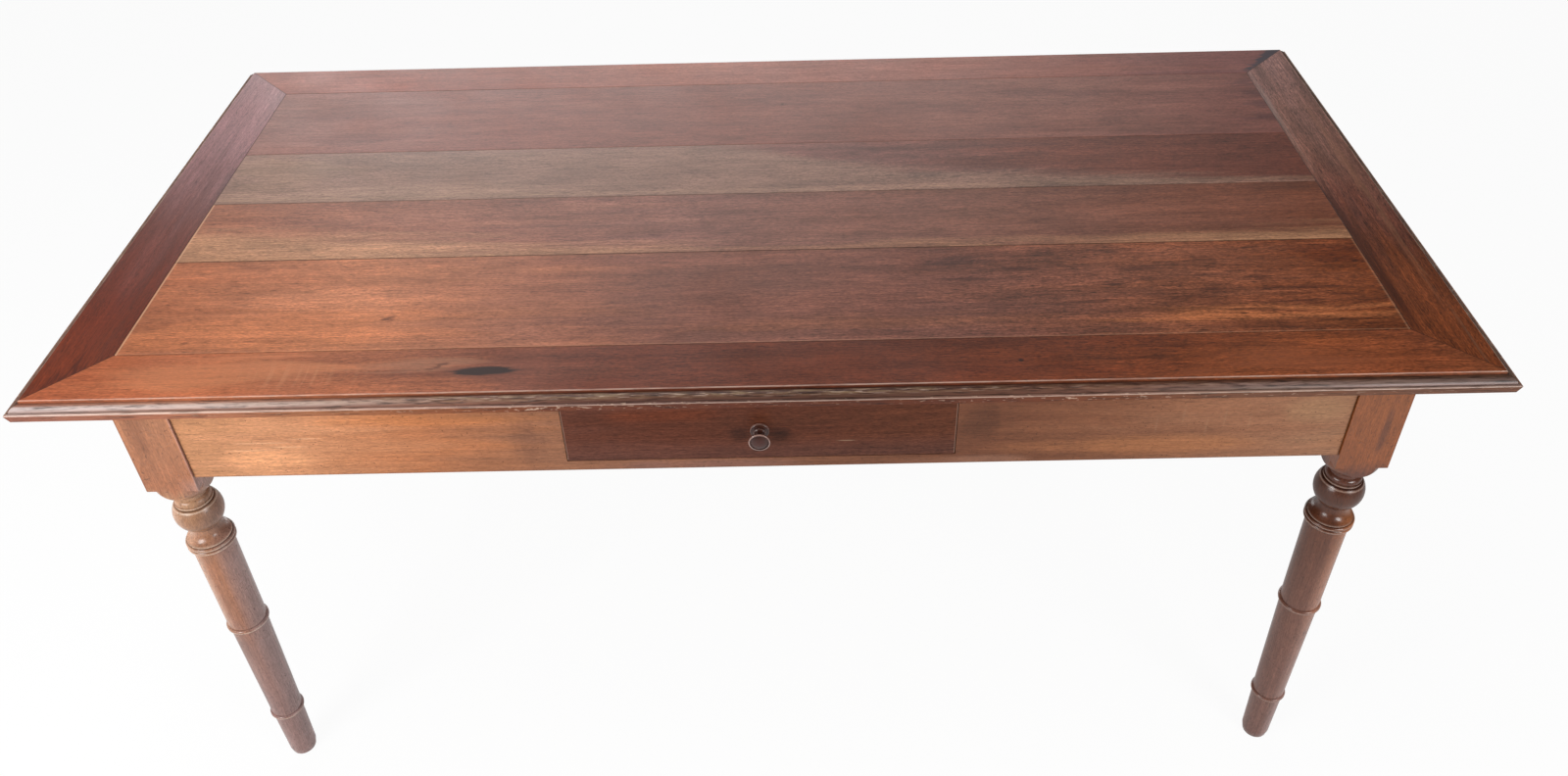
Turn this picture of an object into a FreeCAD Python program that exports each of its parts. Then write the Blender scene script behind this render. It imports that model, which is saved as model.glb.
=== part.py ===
import FreeCAD, Part
import os

import Sketcher
from FreeCAD import Placement, Rotation, Vector

# Kitchen table: a mitred plank top on four turned legs, with one drawer in the front apron.
#
# Millimetres. The origin is on the floor under the middle of the top, X runs to the right along
# the front, Y to the back and Z up. Every size is a cell of the sheet below, and every sub-part
# is an object of the document, tied to those cells by expressions.

SIZES = (
    # The top: four lengthwise planks in a mitred frame.
    ("TableHeight", 780, "floor to the upper face of the top"),
    ("TopLength", 1664, "upper face, left to right, between the edges that the moulding starts from"),
    ("TopDepth", 793, "upper face, front to back"),
    ("TopThickness", 22, "planks and frame boards"),
    ("FrameWidth", 77, "frame boards, from the moulding's upper edge to the planks"),
    ("FrontPlank", 185, "width of the front plank"),
    ("FrontMiddlePlank", 136, "width of the second plank"),
    ("BackMiddlePlank", 132, "width of the third plank; the back plank takes the rest"),
    ("EdgeEase", 0.6, "small bevel on the upper edges at the joints"),
    ("TongueThickness", 6, "tongues of the planks"),
    ("TongueDepth", 8, "how far a tongue reaches into its groove"),
    ("TongueGap", 0.5, "room at the bottom of a groove"),
    ("SplineLength", 62, "loose tongue in each mitre, along the mitre"),
    ("SplineWidth", 22, "loose tongue, across the mitre"),
    ("SplineThickness", 4, "loose tongue"),
    ("SplineGap", 0.5, "room at the ends and edges of a loose tongue"),
    # The moulding on the outer edge: reach outward and drop below the upper face.
    ("ArrisRound", 0.8, "rounding of the upper edge"),
    ("FilletDrop", 4.2, "upright fillet under the upper edge"),
    ("FilletStep", 1.0, "ledge at the foot of the fillet"),
    ("OvoloReach", 9.6, "where the convex roll ends"),
    ("OvoloRound", 8.8, "radius of the convex roll"),
    ("LedgeDrop", 10.4, "ledge under the roll"),
    ("NoseReach", 13.6, "the edge's widest point"),
    ("NoseRound", 0.9, "rounding of the nose"),
    ("BevelReach", 10.6, "the edge at its lower face"),
    # The legs: a square block above a turning.
    ("OverhangSide", 68, "upper edge of the top beyond the leg blocks, left and right"),
    ("OverhangFront", 38.5, "the same, front and back"),
    ("BlockSide", 64.5, "leg block, each way"),
    ("BlockLength", 166, "leg block, down to its shoulder"),
    ("CupShoulder", 36.5, "where the flat shoulder meets the cup, radius"),
    ("CupDepth", 25, "cup under the block"),
    ("CupFoot", 20, "lower end of the cup, radius"),
    ("CupRound", 24, "curve of the cup"),
    ("UpperNeckRadius", 18.8, "neck under the cup"),
    ("UpperNeckDrop", 33.5, "lower end of that neck below the block"),
    ("CapRadius", 22, "lower end of the cap ring above the ball"),
    ("CapRound", 7, "curve of the cap ring"),
    ("CapDrop", 42.5, "lower end of the cap ring below the block"),
    ("StepRadius", 23.8, "small step between cap ring and ball"),
    ("StepHeight", 2.6, "that step"),
    ("FineGroove", 0.7, "depth of the fine grooves"),
    ("BallRadius", 31, "the ball"),
    ("BallDrop", 64, "middle of the ball below the block"),
    ("LowerNeckRadius", 17.3, "neck under the ball"),
    ("LowerNeckHeight", 1.5, "that neck"),
    ("CoveRound", 18, "hollow that opens to the rim"),
    ("RimDrop", 109, "rim above the collar, below the block"),
    ("RimRadius", 28.4, "that rim"),
    ("RimHeight", 2, "that rim"),
    ("CollarSeat", 29.3, "radius from which the two rolls of the collar stand out"),
    ("RollHeight", 5.8, "each roll of the collar"),
    ("RollReach", 1.7, "how far a roll stands out"),
    ("CollarFoot", 27.6, "fillet under the collar, radius"),
    ("CollarFootHeight", 2.4, "that fillet"),
    ("ShaftTop", 26.8, "shaft under the collar, radius"),
    ("ShaftAboveMiddle", 25.7, "shaft above the middle ring, radius"),
    ("ShaftBelowMiddle", 25.0, "shaft below the middle ring, radius"),
    ("ShaftAboveLow", 21.7, "shaft above the low ring, radius"),
    ("ShaftBelowLow", 21.1, "shaft below the low ring, radius"),
    ("MiddleRingHeight", 306, "middle ring above the floor"),
    ("LowRingHeight", 100, "low ring above the floor"),
    ("MiddleRingHalf", 3.7, "half the thickness of the middle ring"),
    ("LowRingHalf", 3.1, "half the thickness of the low ring"),
    ("MiddleRingReach", 3.0, "how far the middle ring stands out"),
    ("LowRingReach", 2.7, "how far the low ring stands out"),
    ("FootRadius", 19.2, "foot above its bevel"),
    ("FootSole", 17.2, "foot on the floor"),
    ("FootBevel", 10, "height of the bevel"),
    # The aprons and their tenons.
    ("ApronHeight", 145, "aprons, down from the top"),
    ("ApronThickness", 24, "aprons"),
    ("SetBack", 3, "apron face behind the leg block's face"),
    ("ShoulderGap", 0.8, "shadow gap between front apron and leg block"),
    ("TenonLength", 30, "tenon into the leg block"),
    ("TenonThickness", 10, "tenon"),
    ("TenonLift", 12, "lower edge of the tenon above the apron's"),
    ("TenonHaunch", 25, "upper edge of the tenon below the apron's"),
    ("TenonGap", 1, "room at the bottom of a mortise"),
    # The drawer and its opening.
    ("StripHeight", 14.6, "strip of the front apron under the opening"),
    ("DrawerWidth", 470, "drawer front"),
    ("DrawerHeight", 90, "drawer front"),
    ("DrawerLength", 560, "drawer, front to back"),
    ("DrawerOffset", -3, "middle of the drawer from the middle of the table"),
    ("DrawerGap", 0.8, "room beside and above the drawer"),
    ("SlideGap", 0.3, "room between the drawer and its runners"),
    ("CornerRound", 3, "corners of the drawer front"),
    ("FrontThickness", 20, "drawer front"),
    ("FrontEase", 0.7, "small bevel round the drawer front"),
    ("SideThickness", 12, "drawer sides"),
    ("SideDrop", 1, "drawer sides below the drawer front's upper edge"),
    ("LapThickness", 5, "wood of the drawer front left over the dovetails"),
    ("TailTip", 21, "dovetail, at its end"),
    ("TailRoot", 15, "dovetail, at its root"),
    ("PanelThickness", 7, "drawer bottom"),
    ("PanelLift", 9, "drawer bottom above the sides' lower edges"),
    ("PanelGroove", 6, "groove for the drawer bottom"),
    ("PanelGap", 0.4, "room at the bottom of that groove"),
    ("BackThickness", 12, "drawer back"),
    ("BackInset", 8, "drawer back in front of the sides' ends"),
    ("BackDrop", 5, "drawer back below the sides' upper edges"),
    ("BackHousing", 4, "how far the drawer back is let into the sides"),
    ("NailRadius", 0.9, "nails of the drawer bottom"),
    ("NailHead", 2.2, "their heads, radius"),
    ("NailHeadHeight", 0.8, "their heads"),
    ("NailBite", 16, "how far a nail goes into the drawer back"),
    ("NailPitch", 110, "from nail to nail"),
    ("HoleGap", 0.15, "room round a nail, a screw and the knob's spigot"),
    # The knob: distance out from the drawer front, and radius.
    ("KnobSpigot", 5, "spigot in the drawer front, radius"),
    ("RosetteRadius", 11.5, "disc against the drawer front"),
    ("RosetteReach", 2.6, "that disc"),
    ("RosetteRound", 1.2, "its rounded edge"),
    ("RosetteStep", 8.6, "where the disc meets the bead, radius"),
    ("KnobBeadSeat", 6.0, "radius from which the bead stands out"),
    ("KnobBeadStart", 3.4, "bead, nearer end"),
    ("KnobBeadEnd", 6.8, "bead, farther end"),
    ("KnobBeadReach", 1.6, "how far the bead stands out"),
    ("KnobNeck", 4.9, "neck, radius"),
    ("KnobNeckReach", 9.5, "narrowest place of the neck"),
    ("KnobFlare", 10, "hollow that opens to the cap"),
    ("KnobCapRadius", 13.1, "cap"),
    ("KnobCapStart", 17.6, "back edge of the cap"),
    ("KnobCapReach", 21.6, "front edge of the cap"),
    ("KnobCapFlat", 1.2, "flat rim round the domed face"),
    ("KnobCapBulge", 0.5, "how far each half of the cap's rounded edge stands out from its chord"),
    ("KnobFaceRadius", 10.5, "domed face inside the cap's rim"),
    ("KnobFaceSink", 0.6, "edge of the domed face below the rim"),
    ("KnobFaceReach", 23.4, "middle of the domed face"),
    # Runners, kickers and stops.
    ("RunnerHeight", 14, "bearer under the drawer side"),
    ("RunnerReach", 22, "bearer, inward from the edge of the opening"),
    ("GuideThickness", 12, "guide outside the drawer side"),
    ("GuideHeight", 18, "guide above the bearer"),
    ("StopLength", 20, "stop behind the drawer side"),
    ("StopHeight", 15, "stop behind the drawer side"),
    ("StopGap", 0.3, "room between the closed drawer and its stops"),
    # Buttons and screws that hold the top.
    ("ButtonWidth", 30, "button, along the apron"),
    ("ButtonLength", 38, "button, away from the apron"),
    ("ButtonHeight", 20, "button"),
    ("ButtonLip", 8, "lip of the button in the apron's slot"),
    ("ButtonLipThickness", 7, "that lip"),
    ("ButtonGap", 1, "room between button and apron, and at the slot's end"),
    ("SlotDrop", 10, "upper face of the slot below the top"),
    ("ButtonPlaceLong", 480, "buttons of the front and back aprons from the middle"),
    ("ButtonPlaceShort", 200, "buttons of the side aprons from the middle"),
    ("ScrewRadius", 2, "screw"),
    ("ScrewHead", 4.2, "head of the screw, radius"),
    ("ScrewHeadHeight", 2.4, "head of the screw"),
    ("ScrewPlace", 24, "screw from the apron's inner face"),
    ("ScrewBite", 14, "how far the screw goes into the top"),
)

# Places that several sub-parts share, as expressions.
UNDERSIDE = "(Sizes.TableHeight - Sizes.TopThickness)"
APRON_FOOT = f"({UNDERSIDE} - Sizes.ApronHeight)"
BLOCK_END = f"({UNDERSIDE} - Sizes.BlockLength)"
FIELD_LENGTH = "(Sizes.TopLength - 2 * Sizes.FrameWidth)"
FIELD_DEPTH = "(Sizes.TopDepth - 2 * Sizes.FrameWidth)"
LEG_X = "(Sizes.TopLength / 2 - Sizes.OverhangSide - Sizes.BlockSide / 2)"
LEG_Y = "(Sizes.TopDepth / 2 - Sizes.OverhangFront - Sizes.BlockSide / 2)"
APRON_FACE_X = "(Sizes.TopLength / 2 - Sizes.OverhangSide - Sizes.SetBack)"
APRON_FACE_Y = "(Sizes.TopDepth / 2 - Sizes.OverhangFront - Sizes.SetBack)"
INNER_X = f"({APRON_FACE_X} - Sizes.ApronThickness)"
INNER_Y = f"({APRON_FACE_Y} - Sizes.ApronThickness)"
OPENING_FOOT = f"({APRON_FOOT} + Sizes.StripHeight)"
OPENING_WIDTH = "(Sizes.DrawerWidth + 2 * Sizes.DrawerGap)"
OPENING_HEIGHT = "(Sizes.SlideGap + Sizes.DrawerHeight + Sizes.DrawerGap)"
DRAWER_FOOT = f"({OPENING_FOOT} + Sizes.SlideGap)"
# The square lower edges of the drawer sides still pass a corner of this radius.
OPENING_ROUND = "(Sizes.DrawerGap + Sizes.SlideGap)"
SIDE_HEIGHT = "(Sizes.DrawerHeight - Sizes.SideDrop)"
DRAWER_INSIDE = "(Sizes.DrawerWidth - 2 * Sizes.SideThickness)"
PANEL_TOP = "(Sizes.PanelLift + Sizes.PanelThickness)"
BACK_REAR = "(Sizes.DrawerLength - Sizes.BackInset)"

# The four sides of the table, and the turn about Z that brings a front piece to each.
FRONT, BACK, LEFT, RIGHT = "front", "back", "left", "right"
TURN = {FRONT: 0, RIGHT: 90, BACK: 180, LEFT: 270}
AXIS = Vector(0, 0, 1)

TAIL_COUNT = 3          # dovetails of each drawer side
NAIL_COUNT = 4          # nails of the drawer bottom
LEAST_CUT = 0.01        # a cut takes away more than this, in cubic millimetres
ON_PLANE = 1e-6         # a face this near to a plane lies in it

doc = FreeCAD.newDocument("KitchenTable")
sizes = doc.addObject("Spreadsheet::Sheet", "Sizes")
for row, (alias, value, meaning) in enumerate(SIZES, start=1):
    sizes.set(f"A{row}", meaning)
    sizes.set(f"B{row}", str(value))
    sizes.setAlias(f"B{row}", alias)
doc.recompute()

sub_parts = []


# ---------------------------------------------------------------- helpers

def number(expression):
    """The present value of an expression, which a sketch starts from."""
    return float(sizes.evalExpression(expression))


def bind(thing, **expressions):
    """Ties properties to expressions; two underscores stand for a dot."""
    for path, expression in expressions.items():
        thing.setExpression(path.replace("__", "."), expression)
    return thing


def place(thing, x="0", y="0", z="0", turn=0):
    """Sets where a sub-part stands: a turn about Z, then a place tied to the sheet."""
    thing.Placement = Placement(Vector(), Rotation(AXIS, turn))
    return bind(thing, Placement__Base__x=x, Placement__Base__y=y, Placement__Base__z=z)


def keep(thing, label):
    """Marks an object as a sub-part of the table, under its own name."""
    thing.Label = label
    sub_parts.append(thing)
    return thing


def new_body(label):
    return keep(doc.addObject("PartDesign::Body", label), label)


def sketch_on(body, role, offset="0"):
    """An empty sketch on one of the body's origin planes, moved along its normal."""
    plane = next(item for item in body.Origin.OriginFeatures if item.Role == role)
    sketch = body.newObject("Sketcher::SketchObject", f"{body.Name}_sketch")
    sketch.AttachmentSupport = [(plane, "")]
    sketch.MapMode = "FlatFace"
    return bind(sketch, AttachmentOffset__Base__z=offset)


def arc_between(start, end, radius, bulge):
    """The short arc from start to end, as a Part arc, and whether it runs from start to end."""
    chord = end - start
    left = Vector(-chord.y, chord.x, 0).normalize()
    toward_centre = left if bulge == "right" else left * -1
    height = max(radius ** 2 - chord.Length ** 2 / 4, 0) ** 0.5
    centre = (start + end) * 0.5 + toward_centre * height
    circle = Part.Circle(centre, AXIS, radius)
    forward = bulge == "right"
    first, last = (start, end) if forward else (end, start)
    return Part.ArcOfCircle(circle, circle.parameter(first), circle.parameter(last)), forward


def outline(sketch, corners):
    """Adds one closed outline, each corner tied to the sheet.

    A corner is (x, y). With a radius and a side, (x, y, radius, "left" or "right"), the edge that
    arrives there is an arc which bulges to that side of its way.
    """
    points = [Vector(number(corner[0]), number(corner[1]), 0) for corner in corners]
    ends = []
    for index, corner in enumerate(corners):
        start, end = points[index - 1], points[index]
        if len(corner) == 2:
            edge = sketch.addGeometry(Part.LineSegment(start, end), False)
            forward = True
        else:
            shape, forward = arc_between(start, end, number(corner[2]), corner[3])
            edge = sketch.addGeometry(shape, False)
            tie(sketch, Sketcher.Constraint("Radius", edge, number(corner[2])), corner[2])
        ends.append((edge, 1, 2) if forward else (edge, 2, 1))
    for index, corner in enumerate(corners):
        edge, _, finish = ends[index]
        next_edge, begin, _ = ends[(index + 1) % len(ends)]
        sketch.addConstraint(Sketcher.Constraint("Coincident", edge, finish, next_edge, begin))
        point = points[index]
        tie(sketch, Sketcher.Constraint("DistanceX", -1, 1, edge, finish, point.x), corner[0])
        tie(sketch, Sketcher.Constraint("DistanceY", -1, 1, edge, finish, point.y), corner[1])


def tie(sketch, constraint, expression):
    """Adds a dimension to a sketch and ties it to the sheet."""
    index = sketch.addConstraint(constraint)
    name = f"size{index}"
    sketch.renameConstraint(index, name)
    sketch.setExpression(f"Constraints.{name}", expression)


def circle(sketch, x, y, radius):
    """Adds a circle, its middle and radius tied to the sheet."""
    middle = Vector(number(x), number(y), 0)
    edge = sketch.addGeometry(Part.Circle(middle, AXIS, number(radius)), False)
    tie(sketch, Sketcher.Constraint("Radius", edge, number(radius)), radius)
    tie(sketch, Sketcher.Constraint("DistanceX", -1, 1, edge, 3, middle.x), x)
    tie(sketch, Sketcher.Constraint("DistanceY", -1, 1, edge, 3, middle.y), y)


def rectangle(sketch, x_low, x_high, y_low, y_high):
    outline(sketch, [(x_low, y_low), (x_high, y_low), (x_high, y_high), (x_low, y_high)])


def rounded_rectangle(sketch, x_low, x_high, y_low, y_high, radius):
    """A rectangle with rounded corners, run through anticlockwise."""
    outline(sketch, [
        (f"{x_low} + {radius}", y_low),
        (f"{x_high} - {radius}", y_low),
        (x_high, f"{y_low} + {radius}", radius, "right"),
        (x_high, f"{y_high} - {radius}"),
        (f"{x_high} - {radius}", y_high, radius, "right"),
        (f"{x_low} + {radius}", y_high),
        (x_low, f"{y_high} - {radius}", radius, "right"),
        (x_low, f"{y_low} + {radius}"),
        (f"{x_low} + {radius}", y_low, radius, "right"),
    ][1:])


def feature(body, kind, sketch, **expressions):
    """Adds a PartDesign feature made from a sketch."""
    made = body.newObject(f"PartDesign::{kind}", f"{body.Name}_{kind.lower()}")
    made.Profile = sketch
    return bind(made, **expressions)


def pad(body, sketch, length, symmetric=False, backward=False):
    made = feature(body, "Pad", sketch, Length=length)
    made.SideType = "Symmetric" if symmetric else "One side"
    made.Reversed = backward
    doc.recompute()
    return made


def pocket(body, sketch, depth, backward=False):
    """Cuts a sketch into the body, and makes sure that it took wood away."""
    before = body.Shape.Volume
    made = feature(body, "Pocket", sketch, Length=depth)
    made.Reversed = backward
    doc.recompute()
    if not body.Shape.Volume < before - LEAST_CUT:
        raise ValueError(f"{made.Name} cuts nothing")
    return made


def turned(body, kind, sketch, axis):
    """A Revolution or Groove, all the way round an axis of its sketch."""
    made = feature(body, kind, sketch)
    made.ReferenceAxis = (sketch, [axis])
    made.Angle = 360
    doc.recompute()
    return made


def box(name, low, size):
    """A box from its lowest corner and its size, both tied to the sheet."""
    made = doc.addObject("Part::Box", name)
    bind(made, Length=size[0], Width=size[1], Height=size[2])
    return place(made, *low)


def cylinder(name, foot, radius, height):
    made = doc.addObject("Part::Cylinder", name)
    bind(made, Radius=radius, Height=height)
    return place(made, *foot)


def fused(name, *things):
    made = doc.addObject("Part::MultiFuse", name)
    made.Shapes = list(things)
    return made


def cut(name, base, tool):
    made = doc.addObject("Part::Cut", name)
    made.Base = base
    made.Tool = tool
    return made


def compound(name, things):
    made = doc.addObject("Part::Compound", name)
    made.Links = things
    return made


def group(label, things):
    """Several alike solids that share one node."""
    return keep(compound(label, things), label)


def bow(chord, rise):
    """The radius of an arc that stands out by its rise from the middle of its chord."""
    return f"(({chord} / 2)^2 + {rise}^2) / (2 * {rise})"


def bead(radius, height_from, height_to, reach):
    """The corner that ends a convex bead: it stands out by reach, from one height to another."""
    return radius, height_to, bow(f"({height_from} - {height_to})", reach), "left"


# ---------------------------------------------------------------- the top

def frame_board(side, length, x, y):
    """One board of the mitred frame, moulded on its outer edge and grooved on its inner edge.

    In its own frame X runs along the board, -Y outward from the upper edge and Z up from the
    upper face.
    """
    body = new_body(f"top_frame_{side}")
    groove_low = "-(Sizes.TopThickness + Sizes.TongueThickness) / 2"
    groove_high = "-(Sizes.TopThickness - Sizes.TongueThickness) / 2"
    groove_end = "Sizes.FrameWidth - Sizes.TongueDepth - Sizes.TongueGap"
    section = sketch_on(body, "YZ_Plane")
    outline(section, [
        ("Sizes.FrameWidth - Sizes.EdgeEase", "0"),
        ("Sizes.ArrisRound", "0"),
        ("0", "-Sizes.ArrisRound", "Sizes.ArrisRound", "left"),
        ("0", "-Sizes.FilletDrop"),
        ("-Sizes.FilletStep", "-Sizes.FilletDrop"),
        ("-Sizes.OvoloReach", "-Sizes.LedgeDrop", "Sizes.OvoloRound", "right"),
        ("-Sizes.NoseReach + Sizes.NoseRound", "-Sizes.LedgeDrop"),
        ("-Sizes.NoseReach", "-Sizes.LedgeDrop - Sizes.NoseRound", "Sizes.NoseRound", "right"),
        ("-Sizes.BevelReach", "-Sizes.TopThickness"),
        ("Sizes.FrameWidth", "-Sizes.TopThickness"),
        ("Sizes.FrameWidth", groove_low),
        (groove_end, groove_low),
        (groove_end, groove_high),
        ("Sizes.FrameWidth", groove_high),
        ("Sizes.FrameWidth", "-Sizes.EdgeEase"),
    ])
    pad(body, section, f"{length} + 2 * Sizes.NoseReach", symmetric=True)

    # The waste beyond each mitre is a triangle that reaches a little past the wood.
    waste = "(Sizes.NoseReach + Sizes.EdgeEase)"
    mitres = sketch_on(body, "XY_Plane")
    for sign in ("", "-"):
        outline(mitres, [
            (f"{sign}({length} / 2 + {waste})", f"-{waste}"),
            (f"{sign}({length} / 2 + {waste})", f"Sizes.FrameWidth + {waste}"),
            (f"{sign}({length} / 2 - Sizes.FrameWidth - {waste})", f"Sizes.FrameWidth + {waste}"),
        ])
    pocket(body, mitres, "Sizes.TopThickness")

    # A slot in each mitre face takes half of a loose tongue.
    slots = sketch_on(body, "XY_Plane", "-(Sizes.TopThickness - Sizes.SplineThickness) / 2")
    along = "(Sizes.SplineLength / 2 + Sizes.SplineGap) / sqrt(2)"
    across = "(Sizes.SplineWidth / 2 + Sizes.SplineGap) / sqrt(2)"
    middle_x = f"({length} / 2 - Sizes.FrameWidth / 2)"
    middle_y = "Sizes.FrameWidth / 2"
    for sign in ("", "-"):
        outline(slots, [
            (f"{sign}({middle_x} + {along} + {across})", f"{middle_y} - {along} + {across}"),
            (f"{sign}({middle_x} - {along} + {across})", f"{middle_y} + {along} + {across}"),
            (f"{sign}({middle_x} - {along} - {across})", f"{middle_y} + {along} - {across}"),
            (f"{sign}({middle_x} + {along} - {across})", f"{middle_y} - {along} - {across}"),
        ])
    pocket(body, slots, "Sizes.SplineThickness")
    place(body, x, y, "Sizes.TableHeight", TURN[side])


def mitre_splines():
    """The loose tongues of the four mitres."""
    splines = []
    for x_sign, y_sign in ((-1, -1), (1, -1), (1, 1), (-1, 1)):
        plain = box("spline",
                    ("-Sizes.SplineLength / 2", "-Sizes.SplineWidth / 2", "0"),
                    ("Sizes.SplineLength", "Sizes.SplineWidth", "Sizes.SplineThickness"))
        spline = compound("turned_spline", [plain])
        place(spline,
              f"{x_sign} * (Sizes.TopLength - Sizes.FrameWidth) / 2",
              f"{y_sign} * (Sizes.TopDepth - Sizes.FrameWidth) / 2",
              "Sizes.TableHeight - (Sizes.TopThickness + Sizes.SplineThickness) / 2",
              45 * x_sign * y_sign)
        splines.append(spline)
    group("mitre_splines", splines)


def plank(label, front_edge, width, tongue_behind, screw_places=()):
    """A plank of the top, tongued at its front edge and ends, grooved or tongued behind.

    In its own frame X runs along the plank, Y to the back from its front edge and Z up from its
    upper face.
    """
    body = new_body(label)
    low = "-(Sizes.TopThickness + Sizes.TongueThickness) / 2"
    high = "-(Sizes.TopThickness - Sizes.TongueThickness) / 2"
    reach = "Sizes.TongueDepth" if tongue_behind else "-Sizes.TongueDepth - Sizes.TongueGap"
    section = sketch_on(body, "YZ_Plane")
    outline(section, [
        ("Sizes.EdgeEase", "0"),
        ("0", "-Sizes.EdgeEase"),
        ("0", high),
        ("-Sizes.TongueDepth", high),
        ("-Sizes.TongueDepth", low),
        ("0", low),
        ("0", "-Sizes.TopThickness"),
        (width, "-Sizes.TopThickness"),
        (width, low),
        (f"{width} + {reach}", low),
        (f"{width} + {reach}", high),
        (width, high),
        (width, "-Sizes.EdgeEase"),
        (f"{width} - Sizes.EdgeEase", "0"),
    ])
    pad(body, section, FIELD_LENGTH, symmetric=True)
    groove_front = f"{width} - Sizes.TongueDepth - Sizes.TongueGap"
    ends = sketch_on(body, "YZ_Plane")
    rectangle(ends, "0", groove_front, low, high)
    pad(body, ends, f"{FIELD_LENGTH} + 2 * Sizes.TongueDepth", symmetric=True)
    if screw_places:
        holes = sketch_on(body, "XY_Plane", "-Sizes.TopThickness")
        for x, y in screw_places:
            circle(holes, x, f"{y} - ({front_edge})", "Sizes.ScrewRadius + Sizes.HoleGap")
        pocket(body, holes, "Sizes.ScrewBite + Sizes.HoleGap", backward=True)
    place(body, y=front_edge, z="Sizes.TableHeight")


def screw_row(y_sign):
    """Where the button screws enter the front (-1) or back (1) plank."""
    long_side = [(f"{x_sign} * Sizes.ButtonPlaceLong", f"{y_sign} * ({INNER_Y} - Sizes.ScrewPlace)")
                 for x_sign in (-1, 1)]
    short_side = [(f"{x_sign} * ({INNER_X} - Sizes.ScrewPlace)", f"{y_sign} * Sizes.ButtonPlaceShort")
                  for x_sign in (-1, 1)]
    return long_side + short_side


def top():
    frame_board(FRONT, "Sizes.TopLength", "0", "-Sizes.TopDepth / 2")
    frame_board(BACK, "Sizes.TopLength", "0", "Sizes.TopDepth / 2")
    frame_board(LEFT, "Sizes.TopDepth", "-Sizes.TopLength / 2", "0")
    frame_board(RIGHT, "Sizes.TopDepth", "Sizes.TopLength / 2", "0")
    mitre_splines()
    first = f"-{FIELD_DEPTH} / 2"
    second = f"{first} + Sizes.FrontPlank"
    third = f"{second} + Sizes.FrontMiddlePlank"
    fourth = f"{third} + Sizes.BackMiddlePlank"
    plank("top_plank_front", first, "Sizes.FrontPlank", False, screw_row(-1))
    plank("top_plank_front_middle", second, "Sizes.FrontMiddlePlank", False)
    plank("top_plank_back_middle", third, "Sizes.BackMiddlePlank", False)
    plank("top_plank_back", fourth, f"{FIELD_DEPTH} / 2 - ({fourth})", True, screw_row(1))


# ---------------------------------------------------------------- the legs

def leg(label, x_sign, y_sign, turn):
    """A turned leg. In its own frame the mortises are in its +X and +Y faces."""
    body = new_body(label)
    cup_end = f"({BLOCK_END} - Sizes.CupDepth)"
    half = "Sizes.BlockSide / 2"

    # The block runs down to the foot of the cup, and the lathe takes its lower corners away.
    square = sketch_on(body, "XY_Plane", cup_end)
    rectangle(square, f"-{half}", half, f"-{half}", half)
    pad(body, square, "Sizes.BlockLength + Sizes.CupDepth")
    clear_of_wood = f"{cup_end} - Sizes.CupDepth"
    cup = sketch_on(body, "XZ_Plane")
    outline(cup, [
        ("Sizes.CupFoot", cup_end),
        ("Sizes.CupShoulder", BLOCK_END, "Sizes.CupRound", "right"),
        ("Sizes.BlockSide", BLOCK_END),
        ("Sizes.BlockSide", clear_of_wood),
        ("Sizes.CupFoot", clear_of_wood),
    ])
    turned(body, "Groove", cup, "V_Axis")

    shaft = sketch_on(body, "XZ_Plane")
    outline(shaft, turning())
    turned(body, "Revolution", shaft, "V_Axis")

    # Two mortises, one for each apron that meets the leg.
    near = f"-{half} + Sizes.SetBack + (Sizes.ApronThickness - Sizes.TenonThickness) / 2"
    far = f"{near} + Sizes.TenonThickness"
    low = f"{APRON_FOOT} + Sizes.TenonLift"
    high = f"{UNDERSIDE} - Sizes.TenonHaunch"
    depth = "Sizes.TenonLength + Sizes.TenonGap"
    mortise_x = sketch_on(body, "YZ_Plane", half)
    rectangle(mortise_x, near, far, low, high)
    pocket(body, mortise_x, depth)
    mortise_y = sketch_on(body, "XZ_Plane", f"-{half}")
    rectangle(mortise_y, near, far, low, high)
    pocket(body, mortise_y, depth, backward=True)
    place(body, f"{x_sign} * {LEG_X}", f"{y_sign} * {LEG_Y}", "0", turn)


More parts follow.
